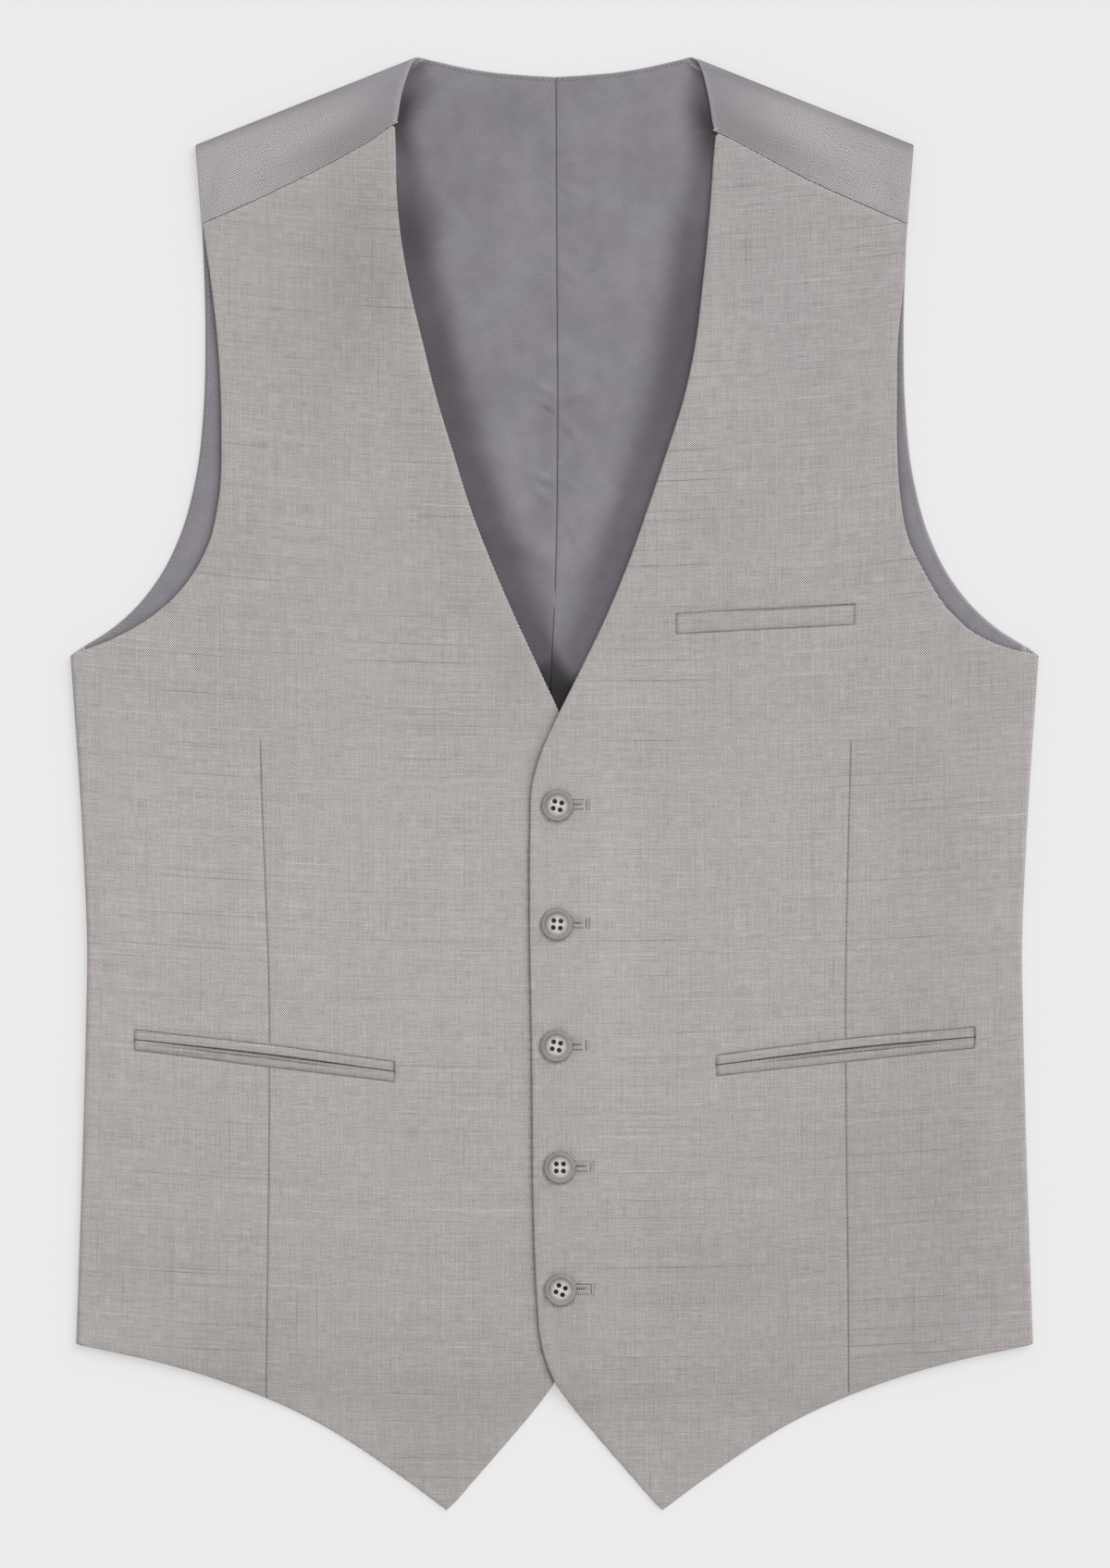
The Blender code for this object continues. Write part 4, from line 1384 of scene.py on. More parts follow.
class Finish:
    """Material under construction."""

    def __init__(self, name):
        self.material = bpy.data.materials.new(name)
        self.material.use_nodes = True
        self.tree = self.material.node_tree
        self.tree.nodes.clear()

    def node(self, kind, settings=None, sockets=None, output=0):
        """New node: its settings first, then the values or links of its sockets."""
        made = self.tree.nodes.new(kind)
        for name, value in (settings or {}).items():
            setattr(made, name, value)
        for name, value in (sockets or {}).items():
            if isinstance(value, Signal):
                self.tree.links.new(value.socket, made.inputs[name])
            else:
                made.inputs[name].default_value = value
        return Signal(self, made.outputs[output]) if made.outputs else None

    def math(self, operation, *values):
        return self.node("ShaderNodeMath", {"operation": operation}, dict(enumerate(values)))

    def value_at(self, title):
        """Number that a mesh carries at each of its points."""
        return self.node("ShaderNodeAttribute", {"attribute_name": title}, output="Fac")

    def across_and_along(self, place):
        """First two numbers of a place."""
        return (self.node("ShaderNodeSeparateXYZ", sockets={0: place}, output=axis) for axis in ("X", "Y"))

    def grain(self):
        """Place across and along the grain of the flat cut, in millimetres."""
        cut = self.node("ShaderNodeAttribute", {"attribute_name": "cut"}, output="Vector")
        return self.across_and_along(cut)

    def noise(self, across, along, across_size, along_size, seed, detail=0.0):
        """Soft noise about 0, with its own size each way."""
        sizes = {0: across / across_size, 1: along / along_size, 2: seed}
        place = self.node("ShaderNodeCombineXYZ", sockets=sizes)
        sockets = {"Vector": place, "Scale": 1.0, "Detail": detail, "Roughness": 0.55}
        return self.node("ShaderNodeTexNoise", {"noise_dimensions": "3D"}, sockets) - 0.5

    def random_at(self, place, seed):
        """One number from 0 to 1 for each whole number."""
        vector = self.node("ShaderNodeCombineXYZ", sockets={0: place, 1: seed, 2: 0.0})
        return self.node("ShaderNodeTexWhiteNoise", {"noise_dimensions": "3D"}, {"Vector": vector})

    def blend(self, share, start, end):
        """Colour between two others."""
        start, end = (colour if isinstance(colour, Signal) else (*colour, 1.0) for colour in (start, end))
        settings = {"data_type": "RGBA", "clamp_factor": False}
        return self.node("ShaderNodeMix", settings, dict(zip(MIX_COLOUR_INPUTS, (share, start, end))),
                         MIX_COLOUR_OUTPUT)

    def scaled(self, colour, amount):
        """Colour made lighter or darker by a number."""
        if not isinstance(colour, Signal):
            colour = self.node("ShaderNodeCombineXYZ", sockets=dict(enumerate(colour)))
        return self.node("ShaderNodeVectorMath", {"operation": "SCALE"}, {0: colour, "Scale": amount})

    def shaded(self, colour, shade, cast):
        """Colour in shade, where it leans towards a cast."""
        share = shade.above(0.2, 0.45)
        tint = self.blend(share, (1.0, 1.0, 1.0), cast)
        product = self.node("ShaderNodeVectorMath", {"operation": "MULTIPLY"}, {0: colour, 1: tint})
        return self.scaled(product, 1.0 - shade)

    def finished(self, colour, roughness, bump, bump_depth, sheen=0.0, gloss=0.3, coat=0.0):
        """Surface with its colour, its roughness and the relief of its weave."""
        relief = {"Height": bump, "Distance": bump_depth * MILLIMETRE, "Strength": 1.0}
        sockets = {
            "Base Color": colour,
            "Roughness": roughness,
            "Specular IOR Level": gloss,
            "Sheen Weight": sheen,
            "Sheen Roughness": 0.5,
            "Coat Weight": coat,
            "Coat Roughness": 0.25,
            "Normal": self.node("ShaderNodeBump", sockets=relief),
        }
        return self.covered(self.node("ShaderNodeBsdfPrincipled", sockets=sockets))

    def covered(self, shader):
        """Material with its shader in place."""
        self.node("ShaderNodeOutputMaterial", sockets={"Surface": shader})
        return self.material


TWILL_PERIOD = 0.76
# Rise of the weft towards the sides: with the square of the distance, less a part with the distance.
WEFT_BEND = 0.000185
WEFT_START = 0.001
# Heights between which it comes to rise twice as much.
WEFT_BENDS_MORE = (30.0, 130.0)
# Most that the ribs lighten or darken the cloth.
WEAVE_LIMIT = 0.66
# Upper part of the right front, where the crossing threads show more and the ribs less.
CHECKED_ACROSS = (-20.0, -70.0)
CHECKED_ALONG = (70.0, 170.0)
# The left front is rosier than the right one, and less so at its side below the armhole.
ROSY_ACROSS = (0.0, 60.0)
LESS_ROSY_ACROSS = (90.0, 140.0)
LESS_ROSY_ALONG = (130.0, 60.0)
# Two neighbouring hues of the suiting, rosy and warm.
TWILL_DARK = ((0.1, 0.093, 0.092), (0.098, 0.094, 0.087))
TWILL_LIGHT = ((0.666, 0.62, 0.613), (0.654, 0.625, 0.582))
SEAM_DOT_PITCH = 1.1
SLUBS = table(
    "length  thickness  strength  seed",
    (7, 0.4, 0.48, 1),
    (26, 0.46, 0.32, 2),
    (90, 0.7, 0.2, 3),
    (160, 4.2, 0.06, 4),
)


def slub_streaks(cloth, along_thread, across_thread, seed):
    """Uneven yarns that run along one thread direction."""
    total = 0.0
    for length, thickness, strength, number in zip(*SLUBS.values()):
        total = total + cloth.noise(along_thread, across_thread, length, thickness, seed + number) * strength
    return total


def twill_weave(cloth, across, along, lean, rib, seed):
    """Ribs that lean one way, clearer in patches, the threads that cross them and fine fibres."""
    turn = 2 * math.pi / (TWILL_PERIOD * math.sqrt(2))
    ribs = ((across + along * lean) * turn).sine()
    crossing = ((across - along * lean) * turn).sine()
    patch = cloth.noise(across, along, 5.0, 5.0, seed + 10.0)
    patch = patch + cloth.noise(across, along, 24.0, 16.0, seed + 11.0)
    checked = across.above(*CHECKED_ACROSS) * along.above(*CHECKED_ALONG)
    ribbed = ribs * (1.0 - checked * 0.4) * rib * (patch * 2.3 + 1.0)
    crossed = crossing * (rib * 0.34) * (1.0 - patch + checked * 0.5)
    woven = ((ribbed + crossed) * cloth.value_at("clear")).within(-WEAVE_LIMIT, WEAVE_LIMIT)
    return woven + cloth.noise(across, along, 0.5, 0.5, seed + 12.0) * 0.21


def melange_streaks(cloth, across, along, seed):
    """Slubs of the weft and the warp, and all streaks together with the lone dark and light yarns."""
    weft = slub_streaks(cloth, across, along, seed + 20.0)
    warp = slub_streaks(cloth, along, across, seed + 40.0)
    lone_dark = cloth.noise(across, along, 110.0, 0.4, seed + 80.0).above(0.22, 0.36)
    lone_light = cloth.noise(across, along, 80.0, 0.4, seed + 82.0).above(0.24, 0.38)
    lone_warp = cloth.noise(along, across, 70.0, 0.4, seed + 84.0).above(0.25, 0.38)
    streaks = (weft + warp * 0.8) * 0.56 + lone_light * 0.3 - lone_dark * 0.42 - lone_warp * 0.25
    return weft + warp, streaks


def suiting_colour(cloth, across, along, tone, seed):
    """Colour of the suiting at each tone. Its hue wanders, and is rosier on the left front."""
    rosy = across.above(*ROSY_ACROSS)
    rosy = rosy * (1.0 - across.above(*LESS_ROSY_ACROSS) * along.above(*LESS_ROSY_ALONG) * 0.4)
    varied = cloth.noise(across, along, 30.0, 44.0, seed + 64.0, detail=1.0) * (rosy + 0.45)
    hue = (varied - rosy * 0.36 + 0.4).within(0.0, 1.0)
    dark = cloth.blend(hue, *TWILL_DARK)
    light = cloth.blend(hue, *TWILL_LIGHT)
    return cloth.blend(tone.within(-WEAVE_LIMIT, 0.8) + 0.5, dark, light)


def seam_and_opening_shade(cloth, across, along, seed):
    """Darkness of the seams on the suiting and painted shade in its openings, broken by the stitches."""
    dots = ((across + along * 0.6) * (2 * math.pi / SEAM_DOT_PITCH)).sine()
    stitched = dots * 0.45 + cloth.noise(across, along, 0.9, 0.9, seed + 70.0) + 0.85
    return cloth.value_at("seam") * stitched * 0.62


def twill_finish(name, tint=1.0, lean=1, rib=0.72, seed=0.0):
    """Melange twill, woven with uneven yarns."""
    cloth = Finish(name)
    across, along = cloth.grain()
    own = across.size()
    along = along - (own * WEFT_BEND - WEFT_START) * own * (along.above(*WEFT_BENDS_MORE) + 1.0)
    weave = twill_weave(cloth, across, along, lean, rib, seed)
    slubs, streaks = melange_streaks(cloth, across, along, seed)
    tone = weave + streaks + cloth.noise(across, along, 60.0, 45.0, seed + 60.0, detail=2.0) * 0.065
    colour = suiting_colour(cloth, across, along, tone, seed)
    # The seam value holds the seams' darkness and painted shade in the openings; the shade value holds
    # painted shade and light.
    sewn = 1.0 - seam_and_opening_shade(cloth, across, along, seed)
    colour = cloth.scaled(colour, sewn * (1.0 - cloth.value_at("shade")) * tint)
    relief = weave + slubs * 0.25
    return cloth.finished(colour, 0.78 - tone * 0.1, relief, bump_depth=0.03, sheen=0.12, gloss=0.22)


STRIP_RIB_TURN = math.radians(-72.0)
STRIP_RIB_PERIOD = 0.90
STRIP_DASH = 2.7
# Distances from the centre line over which the dashes come out and the cool hue is lost.
DASHES_CLEAR = (84.0, 136.0)
STRIP_COOL_UNTIL = (78.0, 112.0)
# Two neighbouring hues of the satin, rosy and cool.
STRIP_DARK = ((0.221, 0.202, 0.216), (0.2165, 0.202, 0.2225))
STRIP_LIGHT = ((0.511, 0.477, 0.5), (0.5, 0.477, 0.515))


def satin_dashes(cloth, across, along):
    """Rows of short dashes, staggered from row to row."""
    waver = cloth.noise(across, along, 16.0, 16.0, 8.0) * 1.4
    waver = waver + cloth.noise(across, along, 2.6, 2.6, 9.0) * 0.35
    on_rib = across * math.cos(STRIP_RIB_TURN) + along * math.sin(STRIP_RIB_TURN)
    over_rib = along * math.cos(STRIP_RIB_TURN) - across * math.sin(STRIP_RIB_TURN) + waver
    row = over_rib / STRIP_RIB_PERIOD
    stagger = cloth.random_at(row.floor(), 3.0) * 1.5 + cloth.noise(across, along, 2.2, 2.2, 10.0) * 0.8
    ends = ((on_rib / STRIP_DASH + stagger).fraction() - 0.5).size() * 2.0
    line = (row * (2 * math.pi)).sine().within(-0.8, 0.8)
    broken = 1.0 - ends.above(0.45, 1.0) * 0.7
    return line * broken * (cloth.noise(across, along, 1.6, 1.6, 11.0) * 1.6 + 1.0)


def strip_finish():
    """Satin of the outer back: its dashes are clearest towards the armhole, and it is coolest by the neck."""
    cloth = Finish("shoulder_satin")
    across, along = cloth.grain()
    past_fold = across * SHOULDER_OUT[0] + along * SHOULDER_OUT[1] - NECK_POINT @ SHOULDER_OUT
    bare = cloth.noise(across, along, 9.0, 9.0, 7.0) * 1.1
    clear = (across.above(*DASHES_CLEAR) + bare + 0.3) * past_fold.above(1.5, 9.0)
    weave = satin_dashes(cloth, across, along) * clear
    fibres = cloth.noise(across, along, 0.55, 0.55, 5.0)
    cloud = cloth.noise(across, along, 9.0, 9.0, 6.0, detail=2.0)
    tone = weave * 0.66 + fibres * 0.5 + cloud * 0.1
    cool = 1.0 - across.above(*STRIP_COOL_UNTIL)
    dark = cloth.blend(cool, *STRIP_DARK)
    light = cloth.blend(cool, *STRIP_LIGHT)
    colour = cloth.blend(tone + 0.5, dark, light)
    dots = ((across + along) * (2 * math.pi / SEAM_DOT_PITCH)).sine() * 0.5 + 0.75
    sewn = 1.0 - cloth.value_at("seam") * dots * 0.6
    # The shade value is the strips' painted sheen and shade, with the painted light rim of the neck edge.
    colour = cloth.scaled(colour, sewn * (1.0 - cloth.value_at("shade")))
    return cloth.finished(colour, 0.48 - tone * 0.12, weave, bump_depth=0.04, sheen=0.15, gloss=0.35)


LINING_RIB_PERIOD = 1.0
# Two neighbouring hues of the lining, rosy and violet.
LINING_DARK = ((0.152, 0.138, 0.156), (0.147, 0.139, 0.16))
LINING_LIGHT = ((0.292, 0.268, 0.298), (0.284, 0.27, 0.304))
# Violet cast of the lining in the shade of the fronts.
LINING_SHADE_CAST = (1.025, 0.962, 1.017)


def lining_finish():
    """Satin lining: fine ribs across the back."""
    cloth = Finish("lining_satin_weave")
    across, along = cloth.grain()
    waver = cloth.noise(across, along, 30.0, 8.0, 2.0) * 0.8
    ribs = ((along + waver) * (2 * math.pi / LINING_RIB_PERIOD)).sine()
    slanted = ((along * 0.8 + across * 0.6 + waver) * (2 * math.pi / LINING_RIB_PERIOD)).sine()
    patch = cloth.noise(across, along, 14.0, 10.0, 3.0)
    threads = cloth.noise(across, along, 5.0, 0.45, 4.0) + cloth.noise(across, along, 0.45, 4.0, 5.0) * 0.8
    plain_part = cloth.noise(across, along, 30.0, 40.0, 7.0) * 1.6 + 1.3 - across.above(-12.0, 12.0) * 0.75
    weave = (ribs * (patch * 0.9 + 0.11) + slanted * (0.05 - patch * 0.75)) * plain_part + threads * 0.5
    cloud = cloth.noise(across, along, 24.0, 30.0, 6.0, detail=2.0)
    cloud = cloud + cloth.noise(across, along, 8.0, 9.0, 8.0) * 0.5
    tone = weave * 0.6 + cloud * 0.55
    hue = cloth.noise(across, along, 30.0, 26.0, 9.0) * 1.6 + 0.5
    dark = cloth.blend(hue, *LINING_DARK)
    light = cloth.blend(hue, *LINING_LIGHT)
    # The seam value is painted shade in the groove of the neck stitches; the shade value is painted shade and
    # light beside the fronts, along the edges and on the puckers.
    colour = cloth.scaled(cloth.blend(tone + 0.5, dark, light), 1.0 - cloth.value_at("seam") * 0.5)
    colour = cloth.shaded(colour, cloth.value_at("shade"), LINING_SHADE_CAST)
    return cloth.finished(colour, 0.44 - tone * 0.1, weave, bump_depth=0.03, sheen=0.12, gloss=0.35)


HORN_COLOURS = ((0.262, 0.2435, 0.229), (0.664, 0.622, 0.597))


def horn_finish():
    """Polished horn of the buttons: a pale dish in a darker rim, with a faint grain."""
    horn = Finish("horn")
    radius = horn.value_at("radius")
    across, along = horn.grain()
    grain = horn.noise(across, along, 5.0, 2.0, 1.0, detail=3.0)
    rings = (radius * 8.4 + grain * 2.0).sine() * (radius.above(4.6, 5.4) * 0.8 + 0.2)
    dish = 1.0 - radius.above(2.9, 5.4)
    middle = 1.0 - radius.above(0.6, 3.0)
    # The groove is a darker ring of painted shade on the dish's wall, and the rim a lighter ring of painted
    # highlight on its crest.
    groove = 1.0 - (radius - 5.55).size().above(0.0, 0.6)
    rim = 1.0 - (radius - 6.3).size().above(0.0, 0.6)
    tone = dish * 0.66 + middle * 0.17 + grain * 0.36 + rings * 0.06 + rim * 0.07 - groove * 0.06 + 0.05
    colour = horn.blend(tone, *HORN_COLOURS)
    # The lee value is painted shade and light on the wall and rim, by how they face the light.
    colour = horn.scaled(colour, 1.0 - horn.value_at("lee"))
    return horn.finished(colour, 0.45 + grain * 0.2, rings + grain, bump_depth=0.03, coat=0.04)


THREAD_COLOURS = {
    "seam_thread": (0.34, 0.315, 0.345),
    "centre_thread": (0.205, 0.19, 0.21),
    "shoulder_thread": (0.53, 0.495, 0.505),
    # Near-black thread of the buttonholes' marks: painted shadow between their stitches and in their slits.
    "stitch_shadow_thread": (0.12, 0.113, 0.107),
    "buttonhole_thread": (0.52, 0.49, 0.465),
}


def thread_finish(name, colour):
    """Twisted sewing thread."""
    thread = Finish(name)
    place = thread.node("ShaderNodeTexCoord", output="Object")
    across, along = (distance / MILLIMETRE for distance in thread.across_and_along(place))
    twist = ((across + along) * 14.0).sine()
    fibres = thread.noise(across, along, 0.3, 0.3, 1.0)
    tone = twist * 0.12 + fibres * 0.5
    shades = thread.scaled(colour, tone + 1.0)
    return thread.finished(shades, 0.7 - fibres * 0.2, twist, bump_depth=0.04, sheen=0.1, gloss=0.25)


# Pieces.


def neck_edge(side, height):
    """Distance of the neck edge from the centre line, along the strip and then the front."""
    strip = STRIP_NECK_EDGE[side]
    on_strip = reading(strip["height"], strip["own"], height)
    return np.where(height > strip["height"][-1], on_strip, front_edge(side, height))


def from_back_neck(cut):
    """Distance of flat points inside the back's neck edge."""
    return (reading(BACK_NECK["own"], BACK_NECK["height"], cut[:, 0]) - cut[:, 1]) * NECK_TILT


def lining_shade(side):
    """Shade on the lining beside the fronts, along its own edges and in the bottom of the neck."""

    def shade(cut):
        own, height = cut.T
        rows = LINING_SHADOW[side]
        columns = (rows["even"], rows["end"], rows["depth"])
        even_to, end, depth = (reading(rows["height"], column, height) for column in columns)
        from_edge = neck_edge(side, height) - own
        beside = depth * (1 - smooth(even_to, end, from_edge)) * smooth(*SHADOW_START, from_edge)
        if side == LEFT:
            lit = SHADOW_LIT * (1 - smooth(*SHADOW_LIT_TOP, height))
            beside = beside * (1 - lit * np.exp(-np.maximum(from_edge, 0.0) / SHADOW_LIT_WIDTH))
        bottom = 1 - smooth(*NECK_BOTTOM, height + NECK_BOTTOM_LEAN[side] * np.maximum(own, 0.0))
        deepest = NECK_DEEPEST_DARKER * (1 - smooth(*NECK_DEEPEST, height))
        bottom *= (NECK_BOTTOM_DARK + deepest) * (own < NECK_BOTTOM_REACH)
        armhole = FRONT_ARMHOLE[side]
        from_armhole = own - reading(armhole["height"], armhole["own"], height)
        sliver = ARMHOLE_SHADE * (1 - smooth(*ARMHOLE_SHADE_END, from_armhole)) * (own > ARMHOLE_SHADE_FROM)
        rim = NECK_RIM_SHADE * (1 - smooth(*NECK_RIM_END, from_back_neck(cut)))
        tones = swell(LINING_SHADES, side * own, height)
        result = 1 - (1 - np.maximum(beside, bottom)) * (1 - sliver) * (1 - rim) * (1 - tones)
        return np.clip(result, -0.3, 0.975)

    return shade


def strip_shade(side):
    """Painted shade where the strip's sheen falls off towards the neck, painted shade on its fold and a
    painted light rim along its neck edge.
    """
    falling, falls_from, falls_to = STRIP_FALLING[side]
    least, gains, line = STRIP_FOLD[side]

    def shade(cut):
        laid = lay_back(cut)
        own = laid[:, 0]
        height = laid[:, 1]
        inside = -past_shoulder(laid[:, :2])
        along = (laid[:, :2] - NECK_POINT) @ SHOULDER_ALONG
        fold = least
        for gain, start, end in gains:
            fold = fold + gain * smooth(start, end, along)
        fold = ridge(inside, STRIP_FOLD_WIDTH) * fold + line * ridge(inside, STRIP_FOLD_LINE_WIDTH)
        rim = STRIP_RIM_LIGHT * (1 - smooth(*STRIP_RIM_END, own - neck_edge(side, height)))
        tones = swell(STRIP_SHADES, side * own, height)
        on_strip = smooth(*STRIP_SHADE_START, past_shoulder(cut))
        return on_strip * (falling * (1 - smooth(falls_from, falls_to, along)) + fold - rim + tones)

    return shade


def shade_under_edge(across, height):
    """Shade that the left front's edge casts on the right front."""
    under_edge = np.maximum(front_edge(LEFT, height) - across, 0.0)
    core = sum(amount * ridge(under_edge, width) for amount, width in EDGE_SHADE)
    top = smooth(*EDGE_TOP, height)
    core = core * (1 - EDGE_TOP_LOSS * top) + EDGE_TOP_SHADE * top * ridge(under_edge, EDGE_TOP_WIDTH)
    return core * (1 - smooth(*EDGE_SHADE_END, height))


def front_shade(side):
    """Painted shade and light over a front, with the painted shade under the left front's edge or under the
    buttons and the painted light beside the buttons.
    """

    def shade(cut):
        across = side * cut[:, 0]
        height = cut[:, 1]
        result = swell(FRONT_SHADES, across, height)
        if side == RIGHT:
            result += shade_under_edge(across, height)
        else:
            for middle, level in picked(BUTTONS, "across height"):
                beside = across - middle
                above = height - level
                distance = np.hypot(beside, above)
                result += BUTTON_SHADE * (1 - smooth(*BUTTON_SHADE_END, distance))
                towards = BUTTON_GLOW_TOWARDS[0] * beside + BUTTON_GLOW_TOWARDS[1] * above
                glow = np.maximum(towards, 0.0) / np.maximum(distance, 1.0)
                result -= BUTTON_GLOW * glow * ridge(distance - BUTTON_GLOW_RADIUS, BUTTON_GLOW_WIDTH)
        return np.clip(result, -0.75, 0.9)

    return shade


def fold_lines(low, high):
    """Lines along the side's fold, one at each step of its turn."""
    step = math.pi * SIDE_FOLD_RADIUS / FOLD_STEPS
    lines = []
    for count in range(-1, FOLD_STEPS + 2):

        def across_at(height):
            return half_width(height) - SIDE_FOLD_REACH + count * step

        lines.append(upright(across_at, low, high, FOLD_STEP))
    return lines


def side_line(inside, low, high):
    """Line a distance inside the garment's side."""
    return upright(lambda height: half_width(height) - inside, low, high, OUTLINE_STEP)


def hem_line(outer, inner, inside=0.0):
    """Hem of the back from its side to the centre, or a line a distance inside it."""
    widths = np.linspace(outer, inner, HEM_POINTS)
    return np.column_stack((widths, back_hem(widths) + inside))


def counterclockwise(outline):
    return outline if flat_area(outline) > 0 else outline[::-1]


def back_outline(side):
    """Flat cut of half of the outer back, with its strip past the shoulder."""
    half_gap = SEAM_GAP / 2
    neck = drawn(BACK_NECK)
    neck = np.vstack(((half_gap, neck[0, 1]), neck[neck[:, 0] > half_gap]))
    strip_neck = unfolded(drawn(STRIP_NECK_EDGE[side]))
    seam = drawn(SHOULDER_SEAM[side])
    strip_seam = unfolded(moved_right(seam, -STRIP_SEAM_INSIDE))
    armhole = drawn(BACK_ARMHOLE)
    strip_end = unfolded(armhole[armhole[:, 1] > seam[-1, 1] + SEAM_GAP])[::-1]
    side_seam = side_line(SIDE_SEAM_INSIDE + SEAM_GAP, UNDERARM_SEAM_HEIGHT, back_hem(BACK_HEM_HALF_WIDTH))
    hem = hem_line(side_seam[-1, 0], half_gap)
    return counterclockwise(joined(neck, strip_neck, strip_seam, strip_end, armhole, side_seam, hem))


def add_back(name, side, finish):
    """Half of the outer back, turned over the shoulder as a strip."""
    outline = back_outline(side)
    turn = math.pi * SHOULDER_FOLD_RADIUS / FOLD_STEPS
    beyond = SHOULDER_ALONG * SHOULDER_FOLD_BEYOND
    folds = []
    for count in range(-1, FOLD_STEPS + 2):
        out = SHOULDER_OUT * (count * turn - SHOULDER_FOLD_REACH)
        folds.append(even((NECK_POINT - beyond + out, SHOULDER_TIP + beyond + out), SHOULDER_FOLD_STEP))

    def on_strip(across, height):
        return past_shoulder(np.array((across, height))) > STRIP_NET_FROM

    def on_back(across, height):
        return not on_strip(across, height)

    inside_nets = [(STRIP_INSIDE_NET, on_strip), (UNDER_NET, on_back)]
    outside_nets = [(FACE_NET, on_strip), (UNDER_NET, on_back)]
    piece = add_cloth(name, side, outline, lay_back, SATIN_THICKNESS, finish, inside_nets, outside_nets,
                      folds=folds, shade=strip_shade(side), mirrored_grain=True)
    return piece, outline


def lining_outline(side):
    """Flat cut of half of the lining, a little inside the outer back."""

    def seam_line(height):
        return side * reading(LINING_SEAM["height"], LINING_SEAM["across"], height) + SEAM_GAP / 4

    seam = upright(seam_line, back_hem(0) + LINING_HEM_INSIDE, BACK_NECK["height"][0], OUTLINE_STEP)
    neck = moved_right(drawn(BACK_NECK), LINING_INSET)
    armhole = moved_right(drawn(BACK_ARMHOLE), LINING_INSET)
    centre = np.array((seam[-1, 0], neck[0, 1]))
    neck = neck[past_shoulder(neck) < -LINING_FROM_SHOULDER]
    neck = np.vstack((centre, neck[neck[:, 0] > centre[0]]))
    armhole = armhole[past_shoulder(armhole) < -LINING_FROM_SHOULDER]
    armhole = armhole[armhole[:, 0] < half_width(armhole[:, 1]) - LINING_FROM_SIDE]
    hem_at_side = back_hem(BACK_HEM_HALF_WIDTH) + LINING_HEM_INSIDE
    side_edge = side_line(LINING_FROM_SIDE, armhole[-1, 1], hem_at_side)
    hem = hem_line(side_edge[-1, 0], seam[0, 0], LINING_HEM_INSIDE)
    seam = seam[seam[:, 1] < neck[0, 1] - SEAM_GAP]
    return counterclockwise(joined(neck, armhole, side_edge, hem, seam))


def add_lining(name, side, finish):
    """Half of the back's lining, finest by its centre seam."""
    outline = lining_outline(side)

    def by_seam(across, height):
        return across < FINE_REACH and height > FINE_FROM

    def seen(across, height):
        return not by_seam(across, height) and height > LINING_SEEN_FROM

    def hidden(across, height):
        return height <= LINING_SEEN_FROM

    nets = [(FINE_NET, by_seam), (FACE_NET, seen), (UNDER_NET, hidden)]
    under_nets = [(UNDER_NET, None)]
    piece = add_cloth(name, side, outline, lay_lining(side), SATIN_THICKNESS, finish, nets, under_nets,
                      relief=lining_relief, shade=lining_shade(side), creases=stitch_lines())
    return piece, outline


def front_outline(side):
    """Flat cut of a front, with its wrap round the side."""
    seam = moved_right(drawn(SHOULDER_SEAM[side]), SEAM_GAP / 2)
    top = FRONT_EDGE["height"][0]
    edge = upright(lambda height: front_edge(side, height), top, NOTCH_HEIGHT, OUTLINE_STEP / 2)
    seam = seam[seam[:, 0] > edge[0, 0]]
    edge = np.vstack((seam[:1], edge[edge[:, 1] < seam[0, 1] - SEAM_GAP]))
    under = side_line(-SIDE_SEAM_INSIDE, SIDE_HEM_HEIGHT, UNDERARM_SEAM_HEIGHT)
    armhole = drawn(FRONT_ARMHOLE[side])
    armhole[-1] = seam[-1]
    return joined(edge, drawn(FRONT_CUTAWAY), drawn(FRONT_HEM), under, armhole, seam[::-1])


def dart_creases(side):
    """Lines along the dart."""
    foot = DART["height"][-1] - 10.0
    return [upright(lambda height: dart_line(side, height) + offset, DART_TOP + 3.0, foot, 1.6)
            for offset in DART_OFFSETS]


def hip_creases(side):
    """Lines along the hip pocket's slit, its seams and its ends."""
    first = HIP_SLIT["own"][0]
    last = HIP_SLIT["own"][-1]
    own = np.linspace(first - 1.0, last + 1.0, 90)
    slit = np.column_stack((own, hip_slit(side, own)))
    lines = []
    for sign in (-1, 1):
        seam = sign * jet_width(side, own, sign > 0)
        for offset in CREASE_OFFSETS[1:]:
            lines.append(slit + np.column_stack((np.zeros(len(own)), seam + sign * offset)))
        for offset in (0.6, 1.2):
            lines.append(slit + (0.0, sign * offset))
    for end in (first - JET_REACH[side], last):
        middle = hip_slit(side, end)
        for offset in CREASE_OFFSETS:
            lines.append(even(((end + offset, middle - 4.2), (end + offset, middle + 4.2)), 1.2))
    return lines


def welt_creases():
    """Lines along the chest welt's foot, its open top and its ends."""
    lines = []
    for offset in (*CREASE_OFFSETS, 8.9, 9.2, 9.5, 9.9, 10.4):
        lines.append(even((WELT_INNER + (0.0, offset), WELT_OUTER + (0.0, offset)), 1.3))
    for end in (WELT_INNER, WELT_OUTER):
        for offset in CREASE_OFFSETS:
            lines.append(even((end + (offset, 0.9), end + (offset, 8.6)), 1.2))
    return lines


def hole_creases():
    """Lines along the slits of the buttonholes."""
    lines = []
    for across, height, hole_end in picked(BUTTONS, "across height hole_end"):
        for offset in CREASE_OFFSETS:
            level = height + HOLE_ABOVE + offset
            lines.append(even(((across, level), (hole_end, level)), 0.8))
    return lines


def front_creases(side):
    """Lines that the seams on a front's face follow."""
    lines = dart_creases(side) + hip_creases(side)
    if side == LEFT:
        lines += welt_creases() + hole_creases()
    return lines


